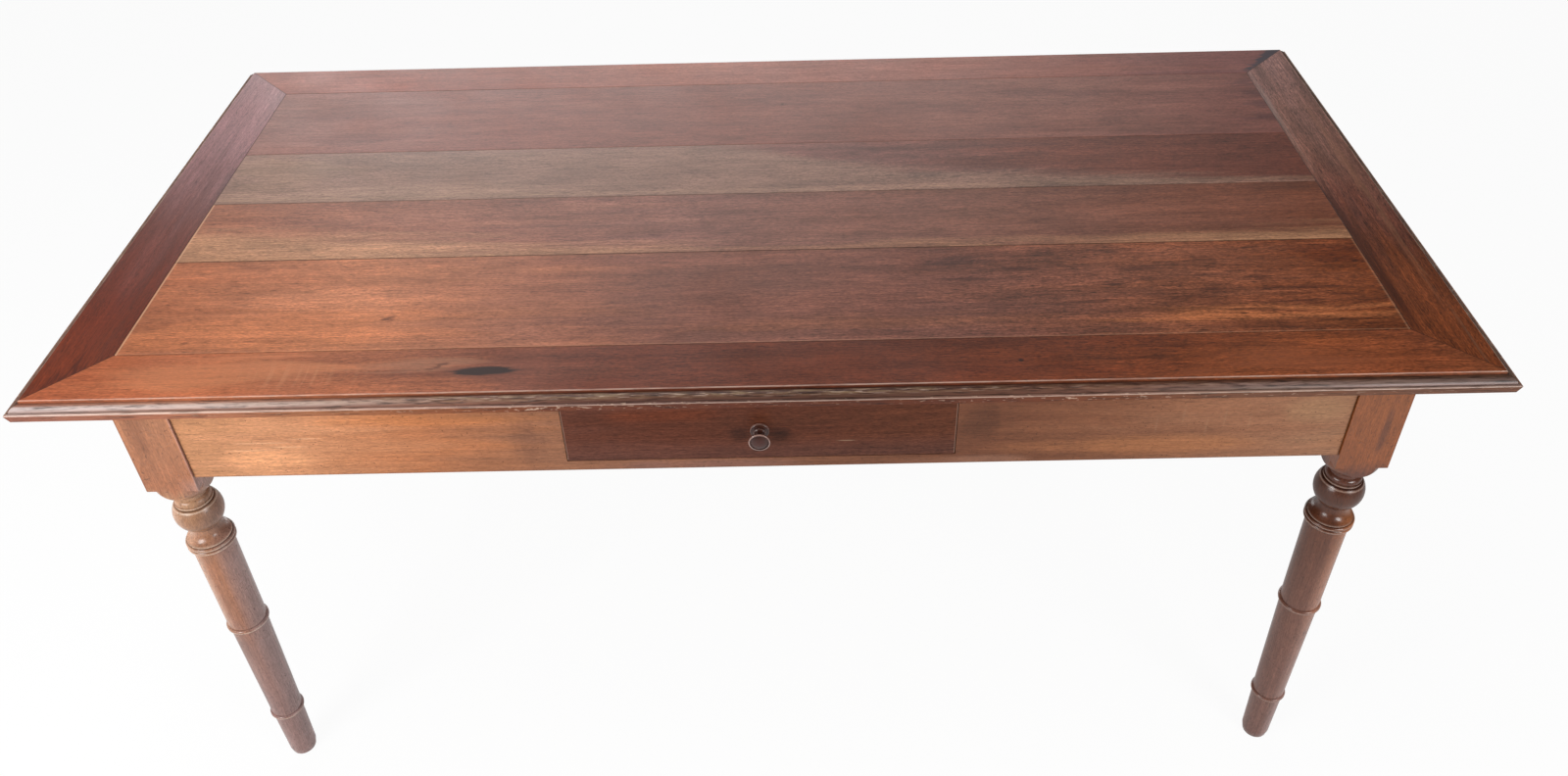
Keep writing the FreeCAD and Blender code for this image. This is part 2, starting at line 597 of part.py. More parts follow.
def turning():
    """Half the section of the turned part, from its axis down the outside to the floor."""
    drop = {name: f"({BLOCK_END} - Sizes.{name})"
            for name in ("UpperNeckDrop", "CapDrop", "BallDrop", "RimDrop")}
    step_end = f"({drop['CapDrop']} - Sizes.StepHeight)"
    groove = f"({step_end} - Sizes.FineGroove)"
    ball_start = f"({groove} - Sizes.FineGroove)"
    ball_top_radius = f"sqrt(Sizes.BallRadius^2 - ({ball_start} - {drop['BallDrop']})^2)"
    ball_end = f"({drop['BallDrop']} - sqrt(Sizes.BallRadius^2 - Sizes.LowerNeckRadius^2))"
    rim_end = f"({drop['RimDrop']} - Sizes.RimHeight)"
    roll = f"({rim_end} - Sizes.FineGroove)"
    roll_middle = f"({roll} - Sizes.RollHeight)"
    roll_end = f"({roll_middle} - Sizes.RollHeight)"
    collar_end = f"({roll_end} - Sizes.CollarFootHeight)"
    middle_high = "(Sizes.MiddleRingHeight + Sizes.MiddleRingHalf)"
    middle_low = "(Sizes.MiddleRingHeight - Sizes.MiddleRingHalf)"
    low_high = "(Sizes.LowRingHeight + Sizes.LowRingHalf)"
    low_low = "(Sizes.LowRingHeight - Sizes.LowRingHalf)"
    return [
        ("0", BLOCK_END),
        ("Sizes.UpperNeckRadius", BLOCK_END),
        ("Sizes.UpperNeckRadius", drop["UpperNeckDrop"]),
        ("Sizes.CapRadius", drop["CapDrop"], "Sizes.CapRound", "left"),
        ("Sizes.StepRadius", drop["CapDrop"]),
        ("Sizes.StepRadius", step_end),
        ("Sizes.StepRadius - Sizes.FineGroove", groove),
        (ball_top_radius, ball_start),
        ("Sizes.LowerNeckRadius", ball_end, "Sizes.BallRadius", "left"),
        ("Sizes.LowerNeckRadius", f"{ball_end} - Sizes.LowerNeckHeight"),
        ("Sizes.RimRadius - Sizes.FineGroove", drop["RimDrop"], "Sizes.CoveRound", "right"),
        ("Sizes.RimRadius", drop["RimDrop"]),
        ("Sizes.RimRadius", rim_end),
        ("Sizes.RimRadius - Sizes.FineGroove", f"{rim_end} - Sizes.FineGroove / 2"),
        ("Sizes.CollarSeat", roll),
        bead("Sizes.CollarSeat", roll, roll_middle, "Sizes.RollReach"),
        bead("Sizes.CollarSeat", roll_middle, roll_end, "Sizes.RollReach"),
        ("Sizes.CollarFoot", roll_end),
        ("Sizes.CollarFoot", collar_end),
        ("Sizes.ShaftTop", collar_end),
        ("Sizes.ShaftAboveMiddle", middle_high),
        bead("Sizes.ShaftBelowMiddle", middle_high, middle_low, "Sizes.MiddleRingReach"),
        ("Sizes.ShaftAboveLow", low_high),
        bead("Sizes.ShaftBelowLow", low_high, low_low, "Sizes.LowRingReach"),
        ("Sizes.FootRadius", "Sizes.FootBevel"),
        ("Sizes.FootSole", "0"),
        ("0", "0"),
    ]


def legs():
    leg("leg_front_left", -1, -1, 0)
    leg("leg_front_right", 1, -1, 90)
    leg("leg_back_right", 1, 1, 180)
    leg("leg_back_left", -1, 1, 270)


# ---------------------------------------------------------------- the aprons

def apron(side, block_to_block, shoulder_gap, button_place, x="0", y="0", opening=False):
    """An apron board with a tenon at each end and slots for the buttons that hold the top.

    In its own frame X runs along the board, Y inward from its outer face and Z up from its lower
    edge.
    """
    body = new_body(f"apron_{side}")
    half = f"({block_to_block} / 2 - {shoulder_gap})"
    board = sketch_on(body, "XZ_Plane")
    rectangle(board, f"-{half}", half, "0", "Sizes.ApronHeight")
    if opening:
        rounded_rectangle(board,
                          f"Sizes.DrawerOffset - {OPENING_WIDTH} / 2",
                          f"Sizes.DrawerOffset + {OPENING_WIDTH} / 2",
                          "Sizes.StripHeight",
                          f"Sizes.StripHeight + {OPENING_HEIGHT}",
                          OPENING_ROUND)
    pad(body, board, "Sizes.ApronThickness", backward=True)

    tenon_near = "(Sizes.ApronThickness - Sizes.TenonThickness) / 2"
    for end in (1, -1):
        tenon = sketch_on(body, "YZ_Plane", f"{end} * {half}")
        rectangle(tenon, tenon_near, f"{tenon_near} + Sizes.TenonThickness",
                  "Sizes.TenonLift", "Sizes.ApronHeight - Sizes.TenonHaunch")
        pad(body, tenon, f"Sizes.TenonLength + {shoulder_gap}", backward=end < 0)

    slots = sketch_on(body, "XZ_Plane", "-Sizes.ApronThickness")
    slot_top = "Sizes.ApronHeight - Sizes.SlotDrop"
    slot_foot = f"{slot_top} - Sizes.ButtonLipThickness - Sizes.ButtonGap"
    slot_half = "(Sizes.ButtonWidth / 2 + Sizes.ButtonGap)"
    for end in (-1, 1):
        rectangle(slots, f"{end} * {button_place} - {slot_half}", f"{end} * {button_place} + {slot_half}",
                  slot_foot, slot_top)
    pocket(body, slots, "Sizes.ButtonLip + Sizes.ButtonGap", backward=True)
    place(body, x, y, APRON_FOOT, TURN[side])


def aprons():
    long_span = f"(2 * {LEG_X} - Sizes.BlockSide)"
    short_span = f"(2 * {LEG_Y} - Sizes.BlockSide)"
    apron(FRONT, long_span, "Sizes.ShoulderGap", "Sizes.ButtonPlaceLong",
          y=f"-{APRON_FACE_Y}", opening=True)
    apron(BACK, long_span, "0", "Sizes.ButtonPlaceLong", y=APRON_FACE_Y)
    apron(LEFT, short_span, "0", "Sizes.ButtonPlaceShort", x=f"-{APRON_FACE_X}")
    apron(RIGHT, short_span, "0", "Sizes.ButtonPlaceShort", x=APRON_FACE_X)


def button_places():
    """Each button's place on the aprons' inner faces, and its turn."""
    for sign in (-1, 1):
        along = f"{sign} * Sizes.ButtonPlaceLong"
        across = f"{sign} * Sizes.ButtonPlaceShort"
        yield along, f"-{INNER_Y}", TURN[FRONT]
        yield along, INNER_Y, TURN[BACK]
        yield f"-{INNER_X}", across, TURN[LEFT]
        yield INNER_X, across, TURN[RIGHT]


def buttons_and_screws():
    """Wooden buttons with a lip in the aprons' slots, each screwed up into the top.

    In a button's own frame Y runs inward from the apron and Z up from the underside of the top.
    """
    buttons = []
    screws = []
    lip_foot = "-(Sizes.SlotDrop + Sizes.ButtonLipThickness)"
    for x, y, turn in button_places():
        block = box("button_block",
                    ("-Sizes.ButtonWidth / 2", "Sizes.ButtonGap", "-Sizes.ButtonHeight"),
                    ("Sizes.ButtonWidth", "Sizes.ButtonLength - Sizes.ButtonGap", "Sizes.ButtonHeight"))
        lip = box("button_lip",
                  ("-Sizes.ButtonWidth / 2", "-Sizes.ButtonLip", lip_foot),
                  ("Sizes.ButtonWidth", "Sizes.ButtonLip + Sizes.ButtonGap", "Sizes.ButtonLipThickness"))
        hole = cylinder("button_hole", ("0", "Sizes.ScrewPlace", "-Sizes.ButtonHeight"),
                        "Sizes.ScrewRadius + Sizes.HoleGap", "Sizes.ButtonHeight")
        button = cut("button", fused("button_wood", block, lip), hole)
        buttons.append(place(button, x, y, UNDERSIDE, turn))

        head_foot = "-Sizes.ButtonHeight - Sizes.ScrewHeadHeight"
        head = cylinder("screw_head", ("0", "Sizes.ScrewPlace", head_foot),
                        "Sizes.ScrewHead", "Sizes.ScrewHeadHeight")
        shank = cylinder("screw_shank", ("0", "Sizes.ScrewPlace", head_foot), "Sizes.ScrewRadius",
                         "Sizes.ScrewHeadHeight + Sizes.ButtonHeight + Sizes.ScrewBite")
        screws.append(place(fused("screw", head, shank), x, y, UNDERSIDE, turn))
    group("top_buttons", buttons)
    group("button_screws", screws)


# ---------------------------------------------------------------- runners, kickers and stops

def runner(side, sign):
    """An L-shaped bearer and guide, from the front apron to the back apron."""
    body = new_body(f"runner_{side}")
    edge = f"({OPENING_WIDTH} / 2)"
    inner = f"({edge} - Sizes.RunnerReach)"
    outer = f"({edge} + Sizes.GuideThickness)"
    section = sketch_on(body, "XZ_Plane")
    outline(section, [
        (f"{sign} * {inner}", "-Sizes.RunnerHeight"),
        (f"{sign} * {outer}", "-Sizes.RunnerHeight"),
        (f"{sign} * {outer}", "Sizes.GuideHeight"),
        (f"{sign} * {edge}", "Sizes.GuideHeight"),
        (f"{sign} * {edge}", "0"),
        (f"{sign} * {inner}", "0"),
    ])
    pad(body, section, f"2 * {INNER_Y}", symmetric=True)
    place(body, "Sizes.DrawerOffset", "0", OPENING_FOOT)


def kicker(side, sign):
    """A strip under the top that keeps the open drawer from tipping."""
    width = "(Sizes.RunnerReach + Sizes.GuideThickness)"
    inner = f"({OPENING_WIDTH} / 2 - Sizes.RunnerReach)"
    low_x = f"Sizes.DrawerOffset + {inner}" if sign > 0 else f"Sizes.DrawerOffset - {inner} - {width}"
    foot = f"({OPENING_FOOT} + {OPENING_HEIGHT})"
    size = (width, f"2 * {INNER_Y}", f"{UNDERSIDE} - {foot}")
    keep(box(f"kicker_{side}", (low_x, f"-{INNER_Y}", foot), size), f"kicker_{side}")


def drawer_stops():
    """A block on each runner, behind the closed drawer."""
    behind = f"-{APRON_FACE_Y} + Sizes.DrawerLength + Sizes.StopGap"
    width = "(Sizes.RunnerReach - Sizes.DrawerGap)"
    inner = f"({OPENING_WIDTH} / 2 - Sizes.RunnerReach)"
    low_x = {1: f"Sizes.DrawerOffset + {inner}", -1: f"Sizes.DrawerOffset - {inner} - {width}"}
    group("drawer_stops", [
        box("stop", (low_x[sign], behind, OPENING_FOOT), (width, "Sizes.StopLength", "Sizes.StopHeight"))
        for sign in (-1, 1)
    ])


# ---------------------------------------------------------------- the drawer

def tails():
    """The dovetails of a drawer side: each as its four corners, (y, z), lowest tail first."""
    shapes = []
    for index in range(TAIL_COUNT):
        middle = f"{SIDE_HEIGHT} * {2 * index + 1} / {2 * TAIL_COUNT}"
        shapes.append([
            ("Sizes.FrontThickness", f"{middle} - Sizes.TailRoot / 2"),
            ("Sizes.LapThickness", f"{middle} - Sizes.TailTip / 2"),
            ("Sizes.LapThickness", f"{middle} + Sizes.TailTip / 2"),
            ("Sizes.FrontThickness", f"{middle} + Sizes.TailRoot / 2"),
        ])
    return shapes


def drawer_front():
    """The drawer front. In its own frame Y runs back from its face and Z up from its lower edge."""
    body = new_body("drawer_front")
    half = "(Sizes.DrawerWidth / 2)"
    board = sketch_on(body, "XZ_Plane")
    rounded_rectangle(board, f"-{half}", half, "0", "Sizes.DrawerHeight", "Sizes.CornerRound")
    block = pad(body, board, "Sizes.FrontThickness", backward=True)

    face = next(f"Face{index}" for index, item in enumerate(block.Shape.Faces, start=1)
                if abs(item.BoundBox.YMax) < ON_PLANE)
    bevel = body.newObject("PartDesign::Chamfer", "front_bevel")
    bevel.Base = (block, [face])
    bind(bevel, Size="Sizes.FrontEase")
    doc.recompute()

    for end in (1, -1):
        sockets = sketch_on(body, "YZ_Plane", f"{end} * {half}")
        for tail in tails():
            outline(sockets, tail)
        pocket(body, sockets, "Sizes.SideThickness", backward=end < 0)

    groove = sketch_on(body, "XZ_Plane", "-Sizes.FrontThickness")
    groove_half = f"({DRAWER_INSIDE} / 2 + Sizes.PanelGroove)"
    rectangle(groove, f"-{groove_half}", groove_half, "Sizes.PanelLift", PANEL_TOP)
    pocket(body, groove, "Sizes.PanelGroove", backward=True)

    hole = sketch_on(body, "XZ_Plane")
    circle(hole, "0", "Sizes.DrawerHeight / 2", "Sizes.KnobSpigot + Sizes.HoleGap")
    pocket(body, hole, "Sizes.FrontThickness")
    place(body, "Sizes.DrawerOffset", f"-{APRON_FACE_Y}", DRAWER_FOOT)


def drawer_side(side, sign):
    """A drawer side with its dovetails, the groove for the bottom and the housing for the back.

    In its own frame X runs outward from its inner face for the right side and inward for the
    left, Y back from the drawer front's face and Z up from its lower edge.
    """
    body = new_body(f"drawer_side_{side}")
    corners = [
        ("Sizes.FrontThickness", "0"),
        ("Sizes.DrawerLength", "0"),
        ("Sizes.DrawerLength", SIDE_HEIGHT),
        ("Sizes.FrontThickness", SIDE_HEIGHT),
    ]
    for tail in reversed(tails()):
        corners.extend(reversed(tail))
    board = sketch_on(body, "YZ_Plane")
    outline(board, corners)
    pad(body, board, "Sizes.SideThickness", backward=sign < 0)

    groove = sketch_on(body, "YZ_Plane")
    rectangle(groove, "Sizes.FrontThickness - Sizes.PanelGroove", "Sizes.DrawerLength",
              "Sizes.PanelLift", PANEL_TOP)
    pocket(body, groove, "Sizes.PanelGroove", backward=sign > 0)

    housing = sketch_on(body, "YZ_Plane")
    rectangle(housing, f"{BACK_REAR} - Sizes.BackThickness", BACK_REAR, PANEL_TOP, SIDE_HEIGHT)
    pocket(body, housing, "Sizes.BackHousing", backward=sign > 0)
    place(body, f"Sizes.DrawerOffset + {sign} * {DRAWER_INSIDE} / 2", f"-{APRON_FACE_Y}", DRAWER_FOOT)


def nail_places():
    """How far each nail of the drawer bottom is from the middle."""
    return [f"{step} * Sizes.NailPitch / 2" for step in range(1 - NAIL_COUNT, NAIL_COUNT, 2)]


def nails(name, radius, foot, height):
    """A cylinder at each nail's place, in the drawer's own frame."""
    row = f"{BACK_REAR} - Sizes.BackThickness / 2"
    return [cylinder(name, (x, row, foot), radius, height) for x in nail_places()]


def drawer_back_and_bottom():
    """The back, the bottom under it and the nails that join them.

    In the drawer's own frame X is 0 in its middle, Y runs back from the drawer front's face and Z
    up from the sides' lower edges.
    """
    at_rest = ("Sizes.DrawerOffset", f"-{APRON_FACE_Y}", DRAWER_FOOT)
    hole = "Sizes.NailRadius + Sizes.HoleGap"
    shank_end = f"{PANEL_TOP} + Sizes.NailBite"
    holes = fused("nail_holes", *nails("nail_hole", hole, "0", f"{shank_end} + Sizes.HoleGap"))

    back_half = f"({DRAWER_INSIDE} / 2 + Sizes.BackHousing)"
    back = box("back_board",
               (f"-{back_half}", f"{BACK_REAR} - Sizes.BackThickness", PANEL_TOP),
               (f"2 * {back_half}", "Sizes.BackThickness",
                f"{SIDE_HEIGHT} - Sizes.BackDrop - {PANEL_TOP}"))
    place(keep(cut("drawer_back", back, holes), "drawer_back"), *at_rest)

    panel_half = f"({DRAWER_INSIDE} / 2 + Sizes.PanelGroove - Sizes.PanelGap)"
    panel_front = "Sizes.FrontThickness - Sizes.PanelGroove + Sizes.PanelGap"
    panel = box("bottom_panel", (f"-{panel_half}", panel_front, "Sizes.PanelLift"),
                (f"2 * {panel_half}", f"{BACK_REAR} - ({panel_front})", "Sizes.PanelThickness"))
    place(keep(cut("drawer_bottom", panel, holes), "drawer_bottom"), *at_rest)

    head_foot = "Sizes.PanelLift - Sizes.NailHeadHeight"
    heads = nails("nail_head", "Sizes.NailHead", head_foot, "Sizes.NailHeadHeight")
    shanks = nails("nail_shank", "Sizes.NailRadius", head_foot, f"{shank_end} - ({head_foot})")
    nail_solids = [fused("nail", head, shank) for head, shank in zip(heads, shanks)]
    place(group("bottom_nails", nail_solids), *at_rest)


def knob():
    """The turned knob. In its own frame -Y runs out from the drawer front."""
    body = new_body("drawer_knob")
    section = sketch_on(body, "YZ_Plane")
    cap_middle = "(Sizes.KnobCapStart + Sizes.KnobCapReach) / 2"
    rim = "(Sizes.KnobFaceRadius + Sizes.KnobCapFlat)"
    face_edge = "(Sizes.KnobCapReach - Sizes.KnobFaceSink)"
    outline(section, [
        ("Sizes.FrontThickness", "0"),
        ("Sizes.FrontThickness", "Sizes.KnobSpigot"),
        ("0", "Sizes.KnobSpigot"),
        ("0", "Sizes.RosetteRadius"),
        ("-Sizes.RosetteReach + Sizes.RosetteRound", "Sizes.RosetteRadius"),
        ("-Sizes.RosetteReach", "Sizes.RosetteRadius - Sizes.RosetteRound", "Sizes.RosetteRound", "right"),
        ("-Sizes.RosetteReach", "Sizes.RosetteStep"),
        ("-Sizes.KnobBeadStart", "Sizes.KnobBeadSeat"),
        ("-Sizes.KnobBeadEnd", "Sizes.KnobBeadSeat",
         bow("(Sizes.KnobBeadEnd - Sizes.KnobBeadStart)", "Sizes.KnobBeadReach"), "right"),
        ("-Sizes.KnobNeckReach", "Sizes.KnobNeck"),
        ("-Sizes.KnobCapStart", "Sizes.KnobFaceRadius", "Sizes.KnobFlare", "left"),
        cap_edge(cap_middle, "Sizes.KnobCapRadius", "Sizes.KnobCapStart", "Sizes.KnobFaceRadius"),
        cap_edge("Sizes.KnobCapReach", rim, cap_middle, "Sizes.KnobCapRadius"),
        ("-Sizes.KnobCapReach", "Sizes.KnobFaceRadius"),
        (f"-{face_edge}", "Sizes.KnobFaceRadius"),
        ("-Sizes.KnobFaceReach", "0",
         bow("(2 * Sizes.KnobFaceRadius)", f"(Sizes.KnobFaceReach - {face_edge})"), "right"),
    ])
    turned(body, "Revolution", section, "H_Axis")
    place(body, "Sizes.DrawerOffset", f"-{APRON_FACE_Y}", f"{DRAWER_FOOT} + Sizes.DrawerHeight / 2")


def cap_edge(reach, radius, reach_before, radius_before):
    """The corner that ends one half of the cap's rounded edge."""
    run = f"({reach} - {reach_before})"
    rise = f"({radius} - {radius_before})"
    return f"-{reach}", radius, bow(f"sqrt({run}^2 + {rise}^2)", "Sizes.KnobCapBulge"), "right"


def drawer():
    drawer_front()
    drawer_side(LEFT, -1)
    drawer_side(RIGHT, 1)
    drawer_back_and_bottom()
    knob()


# ---------------------------------------------------------------- the whole table

def check():
    """Stops with a plain message if any object failed."""
    for item in doc.Objects:
        bad = [state for state in item.State if state in ("Invalid", "Error")]
        if bad:
            raise ValueError(f"{item.Label} is {', '.join(bad)}")
    for item in sub_parts:
        if item.Shape.isNull() or not item.Shape.isValid() or not item.Shape.Solids:
            raise ValueError(f"{item.Label} has no sound shape")


top()
legs()
aprons()
buttons_and_screws()
for side_name, side_sign in ((LEFT, -1), (RIGHT, 1)):
    runner(side_name, side_sign)
    kicker(side_name, side_sign)
drawer_stops()
drawer()
doc.recompute()
check()
os.makedirs("parts", exist_ok=True)
for sub_part in sub_parts:
    sub_part.Shape.exportStep(f"parts/{sub_part.Label}.step")
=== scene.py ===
import math

import bpy
from mathutils import Matrix, Vector


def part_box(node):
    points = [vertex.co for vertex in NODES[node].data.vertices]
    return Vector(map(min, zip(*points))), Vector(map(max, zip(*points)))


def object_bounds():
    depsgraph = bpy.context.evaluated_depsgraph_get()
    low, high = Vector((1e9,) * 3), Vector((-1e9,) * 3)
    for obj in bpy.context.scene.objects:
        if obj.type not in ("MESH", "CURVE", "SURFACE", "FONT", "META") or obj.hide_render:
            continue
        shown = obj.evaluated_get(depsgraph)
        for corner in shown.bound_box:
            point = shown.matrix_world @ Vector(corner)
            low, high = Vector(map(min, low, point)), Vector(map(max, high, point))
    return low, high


# The looks of an old stained and waxed kitchen table. Metres, in the CAD model's frame: X to the
# right along the front, Y to the back, Z up, with the origin on the floor under the top's middle.

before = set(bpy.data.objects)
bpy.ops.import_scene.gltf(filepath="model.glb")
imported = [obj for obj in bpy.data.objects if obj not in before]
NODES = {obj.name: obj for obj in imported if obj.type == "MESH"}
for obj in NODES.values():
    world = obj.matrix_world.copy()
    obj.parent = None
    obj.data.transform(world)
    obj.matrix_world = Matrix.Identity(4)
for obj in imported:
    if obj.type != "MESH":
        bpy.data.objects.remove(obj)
CAD_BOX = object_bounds()
MM = 0.001

# ------------------------------------------------------------------ sizes taken from the frame

TABLE_HEIGHT = CAD_BOX[1].z
MOULDING = 13.6 * MM                      # reach of the moulded edge beyond the upper face
TONGUE = 8 * MM                           # tongues of the planks
HALF_LENGTH = CAD_BOX[1].x - MOULDING     # upper face, from the middle to its edges
HALF_DEPTH = CAD_BOX[1].y - MOULDING
FIELD_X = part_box("top_plank_front")[1].x - TONGUE     # the planks inside the frame boards
BOARD_WIDTH = HALF_LENGTH - FIELD_X
FIELD_Y = HALF_DEPTH - BOARD_WIDTH
JOINT_FRONT, JOINT_MIDDLE, JOINT_BACK = (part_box(name)[0].y + TONGUE for name in (
    "top_plank_front_middle", "top_plank_back_middle", "top_plank_back"))
APRON_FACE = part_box("apron_front")[0].y
APRON_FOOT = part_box("apron_front")[0].z
DRAWER_LOW, DRAWER_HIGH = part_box("drawer_front")
KNOB_LOW, KNOB_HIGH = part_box("drawer_knob")
KNOB_X = (KNOB_LOW.x + KNOB_HIGH.x) / 2
KNOB_Z = (KNOB_LOW.z + KNOB_HIGH.z) / 2

# Faces that stains lie on: the axis through the face, and the face's place on that axis.
UPPER_FACE = (2, TABLE_HEIGHT)
FRONT_FACE = (1, APRON_FACE)
BOARD_FACE = (2, 0.0)                     # in a frame board's own frame


# ------------------------------------------------------------------ helpers

CLOUD_LOW, CLOUD_HIGH = 0.3, 0.7          # nearly all of a noise cloud lies between these


def linear(hex_colour):
    """An sRGB hex colour as the linear RGBA that sockets take."""
    channels = [int(hex_colour[i:i + 2], 16) / 255 for i in (1, 3, 5)]
    return [c / 12.92 if c <= 0.04045 else ((c + 0.055) / 1.055) ** 2.4 for c in channels] + [1.0]


def add(tree, kind, sockets=None, stops=None, **settings):
    """Adds a node and returns its result. Sockets take values or results, stops fill a ramp.

    A socket goes by its name, or by its number where a node repeats its names. MapRange takes
    its value 0 from between 1 and 2 to between 3 and 4. Mix goes from 6 to 7 by the factor 0.
    """
    made = tree.nodes.new("ShaderNode" + kind)
    for name, value in settings.items():
        setattr(made, name, value)
    for name, value in (sockets or {}).items():
        if isinstance(value, bpy.types.NodeSocket):
            tree.links.new(value, made.inputs[name])
        else:
            made.inputs[name].default_value = value
    if stops:
        elements = made.color_ramp.elements
        while len(elements) < len(stops):
            elements.new(0.5)
        for element, (position, level) in zip(elements, stops):
            element.position = position
            element.color = linear(level) if isinstance(level, str) else (level, level, level, 1)
    return next((socket for socket in made.outputs if socket.enabled), None)


def ramp(tree, value, stops):
    """A colour, or a number up to 1, that changes with a value from the first stop to the last."""
    start, end = stops[0][0], stops[-1][0]
    fraction = add(tree, "MapRange", {0: value, 1: start, 2: end})
    spaced = [((place - start) / (end - start), level) for place, level in stops]
    return add(tree, "ValToRGB", {"Fac": fraction}, stops=spaced)


def streaks(tree, place, length, width, seed, detail=3.0, rough=0.55):
    """A cloud drawn out into streaks so long and so wide, with X along the grain.

    Another seed moves it to another part of the cloud.
    """
    scaled = add(tree, "Mapping", {
        "Vector": place, "Location": (seed * 3.1, seed * 7.7, seed * 1.3),
        "Scale": (1 / length, 1 / width, 1 / width)})
    return add(tree, "TexNoise", {
        "Vector": scaled, "Scale": 1.0, "Detail": detail, "Roughness": rough})


def distance(tree, place, centre, radii, tilt=0.0):
    """0 at an ellipsoid's centre and 1 at its surface. The tilt is about Z, in degrees."""
    within = add(tree, "Mapping", {
        "Vector": place, "Location": centre, "Scale": radii,
        "Rotation": (0, 0, math.radians(tilt))}, vector_type="TEXTURE")
    return add(tree, "VectorMath", {0: within}, operation="LENGTH")


def near(tree, coordinate, centre, reach):
    """1 where a coordinate is at the centre, falling to 0 at so much to either side."""
    away = add(tree, "Math", {0: coordinate, 1: centre}, operation="SUBTRACT")
    size = add(tree, "Math", {0: away}, operation="ABSOLUTE")
    return add(tree, "MapRange", {0: size, 1: reach, 2: 0.0}, interpolation_type="SMOOTHSTEP")


def empty_material(name):
    """A material whose node tree is still empty."""
    material = bpy.data.materials.new(name)
    material.use_nodes = True
    material.node_tree.nodes.clear()
    return material


def dress(material, *names):
    """Gives CAD nodes their material."""
    for name in names:
        NODES[name].data.materials.clear()
        NODES[name].data.materials.append(material)


# ------------------------------------------------------------------ wood

STRONGEST = 2.5                           # the strongest figure that any board shows
THROUGH = 1.0                             # half a stain's depth: it goes right through the wood
PORE = 1.2 * MM                           # a pore's width as it is drawn
PORE_DEPTH = 0.4 * MM
WAX_PATCHES = 9.0                         # brighter and duller patches of wax in a metre
WAX_IOR = 1.45
COAT_ROUGHNESS = 0.16
DULL_DIRT = 0.3                           # how much rougher a dirty moulding is


